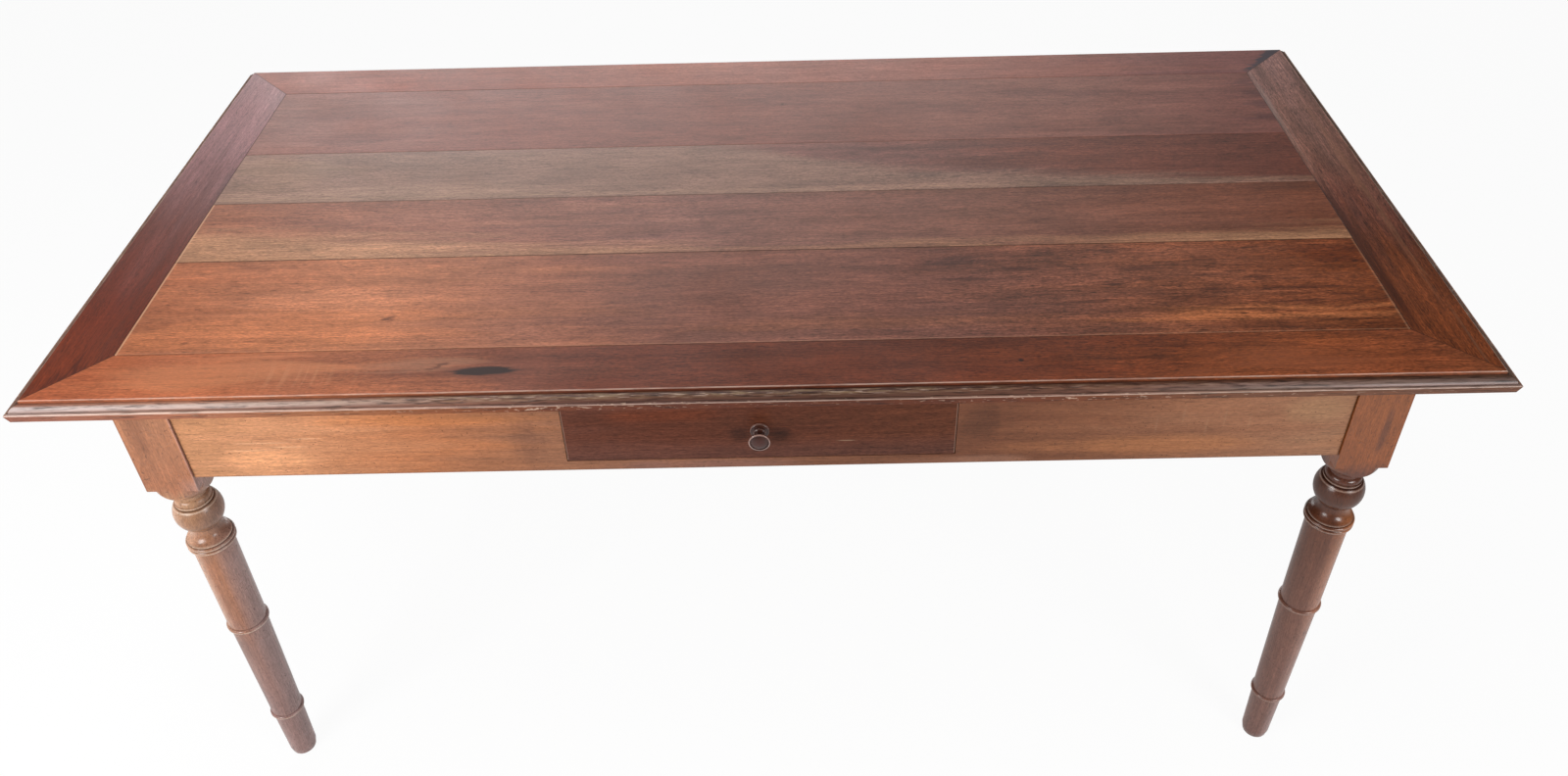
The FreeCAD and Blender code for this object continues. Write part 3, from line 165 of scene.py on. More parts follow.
class Timber:
    """A stained and waxed wood under way: its tree, its grain coordinates and its colour so far.

    In a board's own frame X runs along the grain, and the grain wanders sideways by a few
    millimetres in every few hundred.
    """

    def __init__(self, name, seed, turn=(0, 0, 0), origin=(0, 0, 0), face=UPPER_FACE,
                 wander=5 * MM):
        self.material = empty_material(name)
        self.tree = self.material.node_tree
        self.seed = seed
        self.face = face
        world = add(self.tree, "TexCoord").node.outputs["Object"]
        self.own = add(self.tree, "Mapping", {
            "Vector": world, "Location": origin, "Rotation": turn}, vector_type="TEXTURE")
        self.x, self.y, self.z = add(self.tree, "SeparateXYZ", {0: self.own}).node.outputs
        drift = streaks(self.tree, self.own, 260 * MM, 60 * MM, seed + 5, detail=1.5)
        shift = add(self.tree, "MapRange", {
            0: drift, 1: CLOUD_LOW, 2: CLOUD_HIGH, 3: -wander, 4: wander})
        offset = add(self.tree, "CombineXYZ", {1: shift, 2: shift})
        self.grain = add(self.tree, "VectorMath", {0: self.own, 1: offset}, operation="ADD")
        self.colour = self.strength = self.fibre = self.pores = self.duller = None

    def tone(self, *stops, waver=70 * MM):
        """The ground colour along the board; one tone runs raggedly into the next."""
        cloud = streaks(self.tree, self.grain, 300 * MM, 22 * MM, self.seed + 11)
        moved = add(self.tree, "MapRange", {
            0: cloud, 1: CLOUD_LOW, 2: CLOUD_HIGH, 3: -waver, 4: waver})
        along = add(self.tree, "Math", {0: self.x, 1: moved}, operation="ADD")
        self.colour = ramp(self.tree, along, stops)

    def lay(self, colour, strength, mask, *more):
        """Lays a colour over the ground, as strongly as the masks multiplied together say."""
        for other in more + (strength,):
            mask = add(self.tree, "Math", {0: mask, 1: other}, operation="MULTIPLY")
        top = linear(colour) if isinstance(colour, str) else colour
        self.colour = add(self.tree, "Mix", {0: mask, 6: self.colour, 7: top}, data_type="RGBA")

    def shade(self, cloud, low, high, start=CLOUD_LOW, end=CLOUD_HIGH):
        """Multiplies the colour by low to high as a cloud goes from start to end.

        Low and high are those of the strongest figure.
        """
        number = add(self.tree, "MapRange", {0: cloud, 1: start, 2: end, 3: low, 4: high})
        self.colour = add(self.tree, "Mix", {0: self.strength, 6: self.colour, 7: number},
                          data_type="RGBA", blend_type="MULTIPLY")

    def stain(self, along, across, half_length, half_width, colour, strength,
              softness=0.7, ragged=0.5, tilt=0.0):
        """A stain or a worn place on the face, with a soft edge that is ragged along the grain."""
        axis, level = self.face
        centre, radii = [along, across], [half_length, half_width]
        centre.insert(axis, level)
        radii.insert(axis, THROUGH)
        wobble = streaks(self.tree, self.grain, radii[0], radii[1] / 2, self.seed + along * 9)
        pulled = add(self.tree, "MapRange", {
            0: wobble, 1: CLOUD_LOW, 2: CLOUD_HIGH, 3: -ragged, 4: ragged})
        pull = add(self.tree, "VectorMath", {0: pulled, 1: (radii[0], radii[1], 0)},
                   operation="MULTIPLY")
        place = add(self.tree, "VectorMath", {0: self.own, 1: pull}, operation="ADD")
        away = distance(self.tree, place, centre, radii, tilt)
        soft = add(self.tree, "MapRange", {0: away, 1: 1.0, 2: 1 - softness},
                   interpolation_type="SMOOTHSTEP")
        self.lay(colour, strength, soft)

    def bands(self, centre, radii, width):
        """A cloud of uneven bands about so wide, as growth rings lie round a pith line."""
        away = distance(self.tree, self.grain, centre, radii)
        count = add(self.tree, "Math", {0: away, 1: radii[1] / width}, operation="MULTIPLY")
        return add(self.tree, "TexNoise", {"W": count, "Scale": 1.0, "Detail": 2.0},
                   noise_dimensions="1D")

    def figure(self, strength, stripe=7 * MM):
        """Blotches, growth rings, streaks, fibres, dashes and open pores, from wide to fine.

        The strength is a number, or stops of place and number along the board. Real pores are
        0.2 mm wide: they are drawn 1.2 mm wide, so that they show.
        """
        if isinstance(strength, tuple):
            parts = [(place, number / STRONGEST) for place, number in strength]
            self.strength = ramp(self.tree, self.x, parts)
        else:
            self.strength = strength / STRONGEST
        tree, grain, seed = self.tree, self.grain, self.seed
        blotch = streaks(tree, grain, 130 * MM, 45 * MM, seed + 1, detail=5, rough=0.7)
        broad = streaks(tree, grain, 400 * MM, stripe * 3, seed, detail=4, rough=0.6)
        fine = streaks(tree, grain, 130 * MM, stripe * 0.45, seed + 2, detail=5, rough=0.75)
        dashes = streaks(tree, grain, 5 * MM, PORE * 0.9, seed + 6, detail=1)
        self.fibre = streaks(tree, grain, 40 * MM, PORE * 1.25, seed + 4, rough=0.8)
        self.pores = streaks(tree, grain, 14 * MM, PORE, seed + 3, detail=1, rough=0.5)
        # The pith line runs along the grain, below the face and elsewhere for each seed.
        pith = (0, 0.11 + 0.01 * (seed % 7), -0.16)
        rings = self.bands(pith, (60, 1, 1), 5 * MM)
        for cloud, low, high in ((blotch, 0.62, 1.36), (broad, 0.72, 1.26), (rings, 0.86, 1.14),
                                 (fine, 0.64, 1.34), (self.fibre, 0.36, 1.64),
                                 (dashes, 0.50, 1.50)):
            self.shade(cloud, low, high)
        self.shade(self.pores, 0.05, 1.0, start=0.26, end=0.40)

    def specks(self, colour, size, share, strength):
        """Small sparse marks of about a size; the share is how far the cloud has to rise."""
        cloud = add(self.tree, "TexNoise", {"Vector": self.own, "Scale": 1 / size, "Detail": 1.0})
        risen = add(self.tree, "MapRange", {0: cloud, 1: share, 2: share + 0.03})
        self.lay(colour, strength, risen)

    def finish(self, roughness=0.36, patchy=0.06, gloss=0.34, bump=0.12, coat=0.0):
        """Closes the material: old wax over stain, duller in patches and over open pores."""
        cloud = add(self.tree, "TexNoise", {
            "Vector": self.own, "Scale": WAX_PATCHES, "Detail": 3.0})
        rough = add(self.tree, "MapRange", {
            0: cloud, 1: CLOUD_LOW, 2: CLOUD_HIGH, 3: roughness - patchy, 4: roughness + patchy})
        if self.duller:
            rough = add(self.tree, "Math", {0: self.duller, 1: DULL_DIRT, 2: rough},
                        operation="MULTIPLY_ADD")
        relief = add(self.tree, "Math", {0: self.pores, 1: self.fibre}, operation="ADD")
        raised = add(self.tree, "Bump", {
            "Strength": bump, "Distance": PORE_DEPTH, "Height": relief})
        shader = add(self.tree, "BsdfPrincipled", {
            "Base Color": self.colour, "Roughness": rough, "Normal": raised, "IOR": WAX_IOR,
            "Specular IOR Level": gloss, "Coat Weight": coat, "Coat Roughness": COAT_ROUGHNESS})
        add(self.tree, "OutputMaterial", {"Surface": shader})
        return self.material


# ------------------------------------------------------------------ the planks of the top

JOINT_DIRT = "#24130E"
PALE_EDGE = "#CC9E7C"
RUBBED = 1.8 * MM                         # the plank's end beside a joint, where it is rubbed
# Joint lines along the planks: place, and half the dirt's width and its strength.
FRONT_SEAM = (JOINT_FRONT, 1.6 * MM, 0.95)
MIDDLE_SEAM = (JOINT_MIDDLE, 1.2 * MM, 0.7)
BACK_SEAM = (JOINT_BACK, 1.0 * MM, 0.25)
# Dark flecks of the front plank: place along and across, half their length and half their width.
FLECKS = (
    (0.61, -0.213, 0.018, 0.007), (0.66, -0.235, 0.05, 0.005), (0.56, -0.205, 0.03, 0.004),
    (0.52, -0.25, 0.05, 0.004), (0.64, -0.262, 0.04, 0.003), (0.35, -0.24, 0.04, 0.003),
    (0.70, -0.25, 0.03, 0.003), (0.58, -0.275, 0.03, 0.003), (0.25, -0.205, 0.045, 0.006),
    (0.32, -0.185, 0.03, 0.005), (0.40, -0.255, 0.035, 0.005), (0.20, -0.25, 0.04, 0.004),
    (0.47, -0.19, 0.04, 0.006), (0.55, -0.235, 0.025, 0.005))


def joint_dirt(timber, coordinate, edge, half_width=1.2 * MM, strength=0.6, fades=None):
    """Dirt in a joint line. It may fade along the board, as stops of place and strength."""
    masks = [near(timber.tree, coordinate, edge, half_width)]
    if fades:
        masks.append(ramp(timber.tree, timber.x, fades))
    masks.append(add(timber.tree, "MapRange", {0: timber.fibre, 1: 0.35, 2: 0.55, 3: 0.55}))
    timber.lay(JOINT_DIRT, strength, *masks)


def end_joints(timber):
    """Dirt where a plank meets the frame boards at its ends."""
    for end in (-FIELD_X, FIELD_X):
        joint_dirt(timber, timber.x, end)


def sapwood(timber, edges, reach, waver, colour, strength, softness):
    """A pale band from the plank's front edge, with a ragged far side.

    Its reach is in shares of the plank's width, as stops along the plank.
    """
    limit = ramp(timber.tree, timber.x, reach)
    height = add(timber.tree, "MapRange", {0: timber.y, 1: edges[0], 2: edges[1]})
    cloud = streaks(timber.tree, timber.grain, 260 * MM, 14 * MM, timber.seed + 43)
    ragged = add(timber.tree, "MapRange", {
        0: cloud, 1: CLOUD_LOW, 2: CLOUD_HIGH, 3: -waver, 4: waver})
    moved = add(timber.tree, "Math", {0: limit, 1: ragged}, operation="ADD")
    depth = add(timber.tree, "Math", {0: moved, 1: height}, operation="SUBTRACT")
    soft = add(timber.tree, "MapRange", {0: depth, 1: -softness, 2: softness},
               interpolation_type="SMOOTHSTEP")
    timber.lay(colour, strength, soft)


def front_plank():
    """Warm orange brown and worn on the left, darker and strongly flecked on the right."""
    timber = Timber("waxed_walnut_plank_front", seed=3.0)
    timber.tone((-0.755, "#A25E3C"), (-0.50, "#B26E4A"), (-0.30, "#9C6046"), (-0.12, "#825040"),
                (0.20, "#744638"), (0.50, "#804A32"), (0.755, "#783C1C"))
    # Under the figure: orange wear along the front, and smoky places in the middle and at the end.
    timber.stain(-0.58, -0.285, 0.30, 0.055, "#C4764A", 0.65)
    timber.stain(-0.52, -0.225, 0.17, 0.040, "#C8805A", 0.5)
    timber.stain(-0.05, -0.20, 0.22, 0.05, "#6A4438", 0.35)
    timber.stain(0.25, -0.165, 0.05, 0.015, "#4A2C28", 0.4)
    timber.stain(0.15, -0.285, 0.30, 0.02, "#865034", 0.4)
    timber.stain(0.60, -0.285, 0.24, 0.032, "#B86E42", 0.6)
    timber.stain(0.73, -0.16, 0.10, 0.04, "#501F0A", 0.55)
    timber.figure(((-0.755, 1.3), (-0.10, 1.3), (0.15, 1.6), (0.35, 2.3), (0.755, 2.4)))
    # Over the figure: two small knots, a dark dent, the flecks and a slanting scratch.
    timber.stain(-0.447, -0.261, 0.011, 0.006, "#57301F", 0.8)
    timber.stain(-0.68, -0.300, 0.006, 0.003, "#57301F", 0.6)
    timber.stain(0.43, -0.222, 0.022, 0.004, "#32180F", 0.8)
    for fleck in FLECKS:
        timber.stain(*fleck, "#3A1C14", 0.55)
    timber.stain(-0.65, -0.150, 0.05, 0.0035, "#6C3C26", 0.6, tilt=-14)
    joint_dirt(timber, timber.y, *FRONT_SEAM)
    joint_dirt(timber, timber.y, -FIELD_Y)
    end_joints(timber)
    for end, strength in ((-FIELD_X + RUBBED, 0.8), (FIELD_X - RUBBED, 0.25)):
        timber.lay(PALE_EDGE, strength, near(timber.tree, timber.x, end, RUBBED))
    timber.lay(PALE_EDGE, 0.25, near(timber.tree, timber.y, -FIELD_Y + 1.6 * MM, 1.2 * MM))
    dress(timber.finish(), "top_plank_front")


def front_middle_plank():
    """Dull reddish brown, with a light tan streak that tapers away from the left end."""
    timber = Timber("waxed_walnut_plank_front_middle", seed=7.0)
    timber.tone((-0.755, "#965C42"), (-0.45, "#945E4A"), (-0.10, "#82564A"), (0.30, "#7E5040"),
                (0.755, "#7C4630"))
    reach = ((-0.755, 0.50), (-0.50, 0.31), (-0.25, 0.07), (0.0, -0.08), (0.40, 0.0),
             (0.55, 0.10), (0.755, 0.20))
    sapwood(timber, (JOINT_FRONT, JOINT_MIDDLE), reach, 0.12, "#C08E68", 0.65, 0.20)
    timber.figure(1.4)
    joint_dirt(timber, timber.y, *FRONT_SEAM)
    joint_dirt(timber, timber.y, *MIDDLE_SEAM)
    end_joints(timber)
    timber.lay(PALE_EDGE, 0.8, near(timber.tree, timber.x, -FIELD_X + RUBBED, RUBBED))
    dress(timber.finish(), "top_plank_front_middle")


def back_middle_plank():
    """Greyish bleached sapwood over the left half, which tapers into dark brown on the right."""
    timber = Timber("waxed_walnut_plank_back_middle", seed=11.0)
    timber.tone((-0.755, "#785042"), (0.15, "#784C42"), (0.45, "#764232"), (0.755, "#6C3A2C"))
    reach = ((-0.755, 1.2), (-0.10, 1.15), (0.0, 0.88), (0.08, 0.64), (0.20, 0.44), (0.40, 0.28),
             (0.60, 0.13), (0.755, 0.04))
    sapwood(timber, (JOINT_MIDDLE, JOINT_BACK), reach, 0.07, "#8E6C5C", 0.85, 0.14)
    timber.stain(-0.50, 0.025, 0.34, 0.022, "#A8826C", 0.5)
    timber.stain(-0.68, 0.085, 0.12, 0.06, "#A47E64", 0.4)
    timber.figure(((-0.755, 1.1), (0.0, 1.1), (0.20, 1.7), (0.755, 1.7)))
    pale = near(timber.tree, timber.y, JOINT_MIDDLE + 9 * MM, 9 * MM)
    timber.lay("#B08A6C", 0.4, pale,
               add(timber.tree, "MapRange", {0: timber.fibre, 1: 0.45, 2: 0.6}))
    joint_dirt(timber, timber.y, *MIDDLE_SEAM)
    joint_dirt(timber, timber.y, *BACK_SEAM)
    end_joints(timber)
    dress(timber.finish(), "top_plank_back_middle")


def back_plank():
    """An even reddish brown, with four dark cloudy marks at the right end and a small pin knot."""
    timber = Timber("waxed_walnut_plank_back", seed=17.0)
    timber.tone((-0.755, "#8C5C50"), (-0.45, "#864E40"), (0.0, "#845042"), (0.45, "#8C5A4C"),
                (0.755, "#804E44"))
    timber.stain(0.60, 0.16, 0.30, 0.05, "#6C4034", 0.4)
    for y in (0.29, 0.255, 0.22, 0.18):
        timber.stain(0.748, y, 0.045, 0.016, "#4A2E30", 0.5)
    timber.figure(((-0.755, 1.0), (0.20, 1.0), (0.50, 1.2), (0.755, 1.2)))
    timber.stain(0.028, 0.251, 0.006, 0.004, "#4E2C22", 0.8)
    joint_dirt(timber, timber.y, *BACK_SEAM)
    joint_dirt(timber, timber.y, FIELD_Y, 1.5 * MM, 0.8,
               ((-0.755, 1.0), (-0.40, 0.8), (-0.30, 0.15), (0.755, 0.15)))
    end_joints(timber)
    dress(timber.finish(), "top_plank_back")


front_plank()
front_middle_plank()
back_middle_plank()
back_plank()


# ------------------------------------------------------------------ the moulded frame boards

RUBBED_ARRIS = "#D8BEAE"
RUBBED_OLIVE = "#8A7254"
CHIPPED_NOSE = "#D8B8A0"
RUBBED_BEVEL = "#A05C34"
# Dark of dirt, and of painted shade in the moulding's quirks and the legs' grooves.
DIRT_AND_SHADE = "#1C110D"
# Tones along a moulding: the fillet with the roll's upper part, the roll's belly, its lower part,
# the ledge with the nose, and the bevel. At the front the light tones of the belly at both ends,
# of the roll's lower part at the right end and of the nose at the left end are painted highlights.
PLAIN_MOULDING = tuple(((-1.0, tone), (1.0, tone)) for tone in (
    "#4A2E24", "#6A4838", "#5E4034", "#85604F", "#5E3424"))
FRONT_MOULDING = (
    ((-0.83, "#805747"), (-0.65, "#9A6C56"), (-0.50, "#825844"), (-0.35, "#623A2C"),
     (-0.20, "#4E2E22"), (0.10, "#442C24"), (0.40, "#4A3026"), (0.70, "#463228"),
     (0.83, "#4C382E")),
    ((-0.83, "#C4B4B0"), (-0.65, "#C6B2AA"), (-0.50, "#B69E92"), (-0.35, "#8E6A58"),
     (-0.20, "#6E4E3E"), (0.10, "#5C4034"), (0.40, "#7A5444"), (0.55, "#826860"),
     (0.70, "#725C54"), (0.83, "#64504A")),
    ((-0.83, "#8C746C"), (-0.65, "#7C5240"), (-0.50, "#7F5B4F"), (-0.35, "#8A5E4C"),
     (-0.20, "#66443A"), (0.10, "#5A3C30"), (0.40, "#724C3E"), (0.55, "#7C6458"),
     (0.70, "#967A72"), (0.83, "#88706A")),
    ((-0.83, "#CCAEA4"), (-0.65, "#E0BCAA"), (-0.50, "#BE9684"), (-0.35, "#A88072"),
     (-0.20, "#76544A"), (0.10, "#5C3E34"), (0.25, "#8C6656"), (0.40, "#9C786A"),
     (0.55, "#9C7C6C"), (0.83, "#8C7268")),
    ((-0.83, "#8A4D38"), (-0.65, "#A45E3D"), (-0.50, "#9E6038"), (-0.35, "#8A4A22"),
     (-0.20, "#642C14"), (0.10, "#5A2812"), (0.25, "#60280E"), (0.40, "#723A1A"),
     (0.55, "#6A402A"), (0.83, "#643E2C")))
# How much of the roll is rubbed, and how much of the nose is chipped, along the front.
ROLL_WEAR = ((-0.83, 0.0), (-0.50, 0.3), (-0.35, 0.8), (0.10, 0.8), (0.35, 0.25), (0.83, 0.1))
NOSE_WEAR = ((-0.83, 0.1), (-0.40, 0.3), (-0.22, 1.0), (-0.10, 0.4), (0.15, 0.2), (0.35, 0.9),
             (0.45, 0.4), (0.83, 0.2))


def moulding(timber, tones):
    """The moulded edge: stained dark, with dirt and painted shade in its quirks, its arrises
    rubbed pale. At the front its roll and nose carry painted highlights.

    The own frame's Y is how far in from the upper arris, so that what stands out is negative,
    and Z how far up from the upper face. Both are given in mm here.
    """
    tree = timber.tree
    outside, roll_foot, ledge, bevel = (
        add(tree, "MapRange", {0: coordinate, 1: start * MM, 2: full * MM})
        for coordinate, start, full in ((timber.y, 0.2, -0.4), (timber.y, -8.2, -9.2),
                                        (timber.y, -10.2, -11.0), (timber.z, -11.3, -11.9)))
    belly, upper_roll, roll, nose = (
        near(tree, timber.y, middle * MM, half * MM)
        for middle, half in ((-6.6, 3.6), (-4.5, 5.0), (-5.0, 4.5), (-12.4, 2.6)))
    for part, stops in zip((outside, belly, roll_foot, ledge, bevel), tones):
        timber.lay(ramp(tree, timber.x, stops), 0.9, part)

    worn = streaks(tree, timber.own, 30 * MM, 2.0 * MM, timber.seed + 31, rough=0.6)
    fine = streaks(tree, timber.own, 16 * MM, 1.4 * MM, timber.seed + 41, detail=2)
    chips = streaks(tree, timber.own, 7 * MM, 3 * MM, timber.seed + 37, detail=1)
    wear = ramp(tree, timber.x, ROLL_WEAR)
    for colour, strength, cloud, start, full, *parts in (
            (RUBBED_OLIVE, 0.75, worn, 0.50, 0.58, upper_roll, wear),
            (DIRT_AND_SHADE, 0.7, worn, 0.48, 0.34, outside),
            (RUBBED_ARRIS, 0.45, fine, 0.56, 0.64, roll, wear),
            (DIRT_AND_SHADE, 0.5, fine, 0.46, 0.38, roll),
            (CHIPPED_NOSE, 0.8, chips, 0.62, 0.68, nose, ramp(tree, timber.x, NOSE_WEAR)),
            (RUBBED_BEVEL, 0.3, worn, 0.55, 0.68, bevel)):
        broken = add(tree, "MapRange", {0: cloud, 1: start, 2: full})
        timber.lay(colour, strength, broken, *parts)

    # Lines along the moulding: their place inward and up, each with half the line's width. The two
    # dark lines, under the arris and under the ledge, are dirt and painted shade in the quirks.
    lightening = add(tree, "MapRange", {0: worn, 1: 0.38, 2: 0.56, 3: 0.5})
    for colour, strength, (inward, across), (up, high), *more in (
            (DIRT_AND_SHADE, 0.45, (-0.6, 1.4), (-3.6, 1.8)),
            (DIRT_AND_SHADE, 0.5, (-10.4, 1.4), (-10.4, 0.9)),
            (RUBBED_ARRIS, 0.85, (0.2, 1.5), (0.0, 1.5), lightening),
            (RUBBED_ARRIS, 0.7, (-13.4, 1.3), (-11.2, 1.0), lightening)):
        timber.lay(colour, strength, near(tree, timber.y, inward * MM, across * MM),
                   near(tree, timber.z, up * MM, high * MM), *more)
    # At the front only the bevel has lost its wax.
    timber.duller = outside if tones is PLAIN_MOULDING else bevel


def frame_board(node, turn, seed, tones, strength, marks, inner_fades=None,
                moulded=PLAIN_MOULDING):
    """A frame board: its own frame has X along the board, Y inward and Z up from the upper face.

    Waxed like the planks, with dirt in the mitres and beside the planks.
    """
    along_x = turn % 180 == 0
    outer = HALF_DEPTH if along_x else HALF_LENGTH
    half = HALF_LENGTH if along_x else HALF_DEPTH
    angle = math.radians(turn)
    origin = (math.sin(angle) * outer, -math.cos(angle) * outer, TABLE_HEIGHT)
    timber = Timber(f"waxed_walnut_{node}", seed, (0, 0, angle), origin, BOARD_FACE)
    timber.tone(*tones)
    timber.figure(strength)
    marks(timber)
    joint_dirt(timber, timber.y, BOARD_WIDTH, 1.4 * MM, 0.8, inner_fades)
    reach = add(timber.tree, "Math", {0: timber.x}, operation="ABSOLUTE")
    mitre = add(timber.tree, "Math", {0: reach, 1: timber.y}, operation="ADD")
    joint_dirt(timber, mitre, half, 1.8 * MM, 0.75)
    moulding(timber, moulded)
    dress(timber.finish(), node)


def front_board_marks(timber):
    """A long knot, a pin knot, and the ripples of a grown-over branch on the left."""
    timber.stain(-0.62, 0.04, 0.16, 0.035, "#BC7850", 0.5)
    timber.stain(-0.38, 0.048, 0.11, 0.015, "#B07E62", 0.35)
    ripple = timber.bands((-0.68, 0.034, 0), (1, 1, 1), 9 * MM)
    timber.lay("#CC8E66", 0.22, near(timber.tree, timber.x, -0.53, 0.12),
               near(timber.tree, timber.y, 0.034, 0.034),
               add(timber.tree, "MapRange", {0: ripple, 1: 0.5, 2: 0.65}))
    # The knot: reddish round it, an eyelash beside it, its dark eye, and a crack through the eye.
    knot = (-0.312, 0.036)
    timber.stain(*knot, 0.085, 0.02, "#6E3C2C", 0.5)
    timber.stain(-0.367, 0.046, 0.020, 0.004, "#4A261C", 0.6, tilt=30)
    timber.stain(*knot, 0.040, 0.0085, "#2E1B16", 1.0, softness=0.35, ragged=0.25)
    timber.stain(*knot, 0.066, 0.0028, "#2E1B16", 0.9, ragged=0.2)
    timber.stain(0.298, 0.036, 0.004, 0.003, "#2B1813", 0.9, softness=0.4)
    timber.stain(0.62, 0.03, 0.14, 0.03, "#8E4E30", 0.5)


def right_board_marks(timber):
    """A dark streak beside the planks and two faint pale ones; X runs from front to back."""
    timber.stain(-0.20, 0.068, 0.22, 0.014, "#3A1A10", 0.7)
    timber.stain(-0.05, 0.02, 0.30, 0.008, "#8A5E46", 0.4)
    timber.stain(0.22, 0.073, 0.15, 0.006, "#9E8880", 0.45)


def back_board_marks(timber):
    """Old glue and dirt beside the mitre at the right end; X runs from right to left."""
    for place in ((-0.794, 0.036, 0.062, 0.0075), (-0.812, 0.014, 0.040, 0.013)):
        timber.stain(*place, "#453A42", 0.95, softness=0.35, ragged=0.2, tilt=45)


def left_board_marks(timber):
    """Dark at the front mitre and along a streak beside the planks; X runs from back to front."""
    timber.stain(0.36, 0.05, 0.08, 0.02, "#40190F", 0.6, tilt=-45)
    timber.stain(0.10, 0.055, 0.30, 0.012, "#52281F", 0.4)


frame_board("top_frame_front", 0, 21.0, (
    (-0.832, "#A25432"), (-0.62, "#B2643E"), (-0.45, "#A45E3C"), (-0.30, "#7A4430"),
    (-0.15, "#6A3422"), (0.15, "#66301C"), (0.40, "#6E341A"), (0.60, "#8A4826"),
    (0.74, "#844426"), (0.832, "#764024")),
    ((-0.832, 1.2), (-0.30, 1.3), (0.20, 1.5), (0.40, 1.9), (0.832, 1.9)),
    front_board_marks, moulded=FRONT_MOULDING)
frame_board("top_frame_right", 90, 23.0, (
    (-0.3965, "#743A1C"), (-0.19, "#6A361C"), (-0.06, "#704032"), (0.07, "#7E5446"),
    (0.20, "#845C50"), (0.3965, "#9A7068")), 1.8, right_board_marks)
frame_board("top_frame_back", 180, 27.0, (
    (-0.832, "#804E4A"), (-0.45, "#995C4C"), (-0.15, "#A06454"), (0.15, "#9A5844"),
    (0.45, "#8E4834"), (0.832, "#9C5C4C")), 1.1, back_board_marks,
    inner_fades=((-0.755, 0.15), (0.30, 0.15), (0.40, 0.8), (0.755, 1.0)))
frame_board("top_frame_left", 270, 29.0, (
    (-0.3965, "#9A6C6C"), (-0.20, "#8C5F60"), (-0.07, "#7D5251"), (0.06, "#6E3B32"),
    (0.19, "#662816"), (0.3965, "#6C2C12")), 1.1, left_board_marks)


# ------------------------------------------------------------------ aprons and drawer

SPECK = "#3A2018"
PLAIN_APRON = ((-0.70, "#7E503A"), (0.0, "#724632"), (0.70, "#7A4C34"))
# Painted glints along the grain in the glare on the front apron's left: place along, height and
# half their length.
GLINTS = ((-0.60, 0.668, 0.05), (-0.57, 0.661, 0.035), (-0.62, 0.656, 0.04), (-0.55, 0.674, 0.03))
# Dusty upright scratches on it: place along and height.
SCRATCHES = ((0.47, 0.67), (0.50, 0.685), (0.53, 0.665), (0.55, 0.68), (0.58, 0.672))


def apron(node, turn, seed, tones, marks=None):
    """An apron board: calmer in figure than the top, with small specks and a grimy lower edge."""
    timber = Timber(f"waxed_walnut_{node}", seed, (0, 0, math.radians(turn)), face=FRONT_FACE)
    timber.tone(*tones)
    if marks:
        marks(timber)
    timber.figure(0.8, stripe=10 * MM)
    timber.lay("#6E4430", 0.5, near(timber.tree, timber.z, APRON_FOOT, 2.5 * MM))
    timber.specks(SPECK, 3 * MM, 0.72, 0.6)
    dress(timber.finish(roughness=0.40, bump=0.2), node)


def front_apron_marks(timber):
    """Worn and pale on the left with a painted glare and glints, smoky beside the drawer, and with
    dusty scratches on the right.
    """
    # A painted glare on the left.
    timber.stain(-0.60, 0.640, 0.11, 0.026, "#E8A474", 0.8)
    for x, z, half_length in GLINTS:
        timber.stain(x, z, half_length, 0.0012, "#E6B68E", 0.55, ragged=0.2)
    timber.stain(-0.40, 0.70, 0.16, 0.014, "#BC7440", 0.5)
    timber.stain(-0.28, 0.66, 0.03, 0.05, "#7A503C", 0.5)
    timber.stain(0.27, 0.68, 0.035, 0.04, "#54301F", 0.5)
    timber.stain(0.50, 0.637, 0.26, 0.022, "#A86C44", 0.65)
    timber.stain(-0.08, 0.618, 0.16, 0.012, "#80584C", 0.7)
    timber.stain(0.25, 0.618, 0.14, 0.010, "#966A54", 0.6)
    timber.stain(0.655, 0.69, 0.05, 0.03, "#A07A58", 0.5)
    for x, z in SCRATCHES:
        timber.stain(x, z, 0.0020, 0.020, "#A07C60", 0.2, ragged=0.3)


def drawer_face():
    """A darker, redder board than the apron, rubbed along its edges, with painted shadows of the
    knob.
    """
    timber = Timber("stained_walnut_drawer_front", seed=39.0, face=FRONT_FACE)
    timber.tone((-0.235, "#5E3426"), (-0.12, "#5C3020"), (0.0, "#582E1E"), (0.23, "#5C3220"))
    timber.stain(-0.12, 0.70, 0.09, 0.014, "#6E341C", 0.5)
    low = add(timber.tree, "MapRange", {0: timber.z, 1: 0.668, 2: 0.635},
              interpolation_type="SMOOTHSTEP")
    timber.lay("#5E3A30", 0.7, low)
    # Painted shadows of the knob, cast to either side by the side lamps.
    for side in (-24 * MM, 25 * MM):
        timber.stain(KNOB_X + side, KNOB_Z - 5 * MM, 0.018, 0.013, "#2C1813", 0.4, ragged=0.1)
    timber.figure(1.2)
    timber.stain(0.102, 0.654, 0.016, 0.0009, "#A0826A", 0.8, ragged=0.1)
    for edge in (DRAWER_LOW.x, DRAWER_HIGH.x):
        timber.lay("#A08070", 0.7, near(timber.tree, timber.x, edge, 2.2 * MM))
    # A dark line along the bottom edge: painted shade in the gap below the drawer.
    timber.lay("#20120E", 0.7, near(timber.tree, timber.z, DRAWER_LOW.z, 1.6 * MM))
    dress(timber.finish(roughness=0.50, gloss=0.2), "drawer_front")


# Rims of the knob with painted highlights: radius in mm, place along the knob's axis, how far the
# highlight reaches across and along in mm, and its strength.
KNOB_RIM_HIGHLIGHTS = (
    (12.4, KNOB_LOW.y + 2 * MM, 1.2, 5.0, 0.85),
    (11.4, APRON_FACE, 0.8, 3.5, 0.9),
    (7.6, APRON_FACE - 5 * MM, 0.9, 2.0, 0.5))


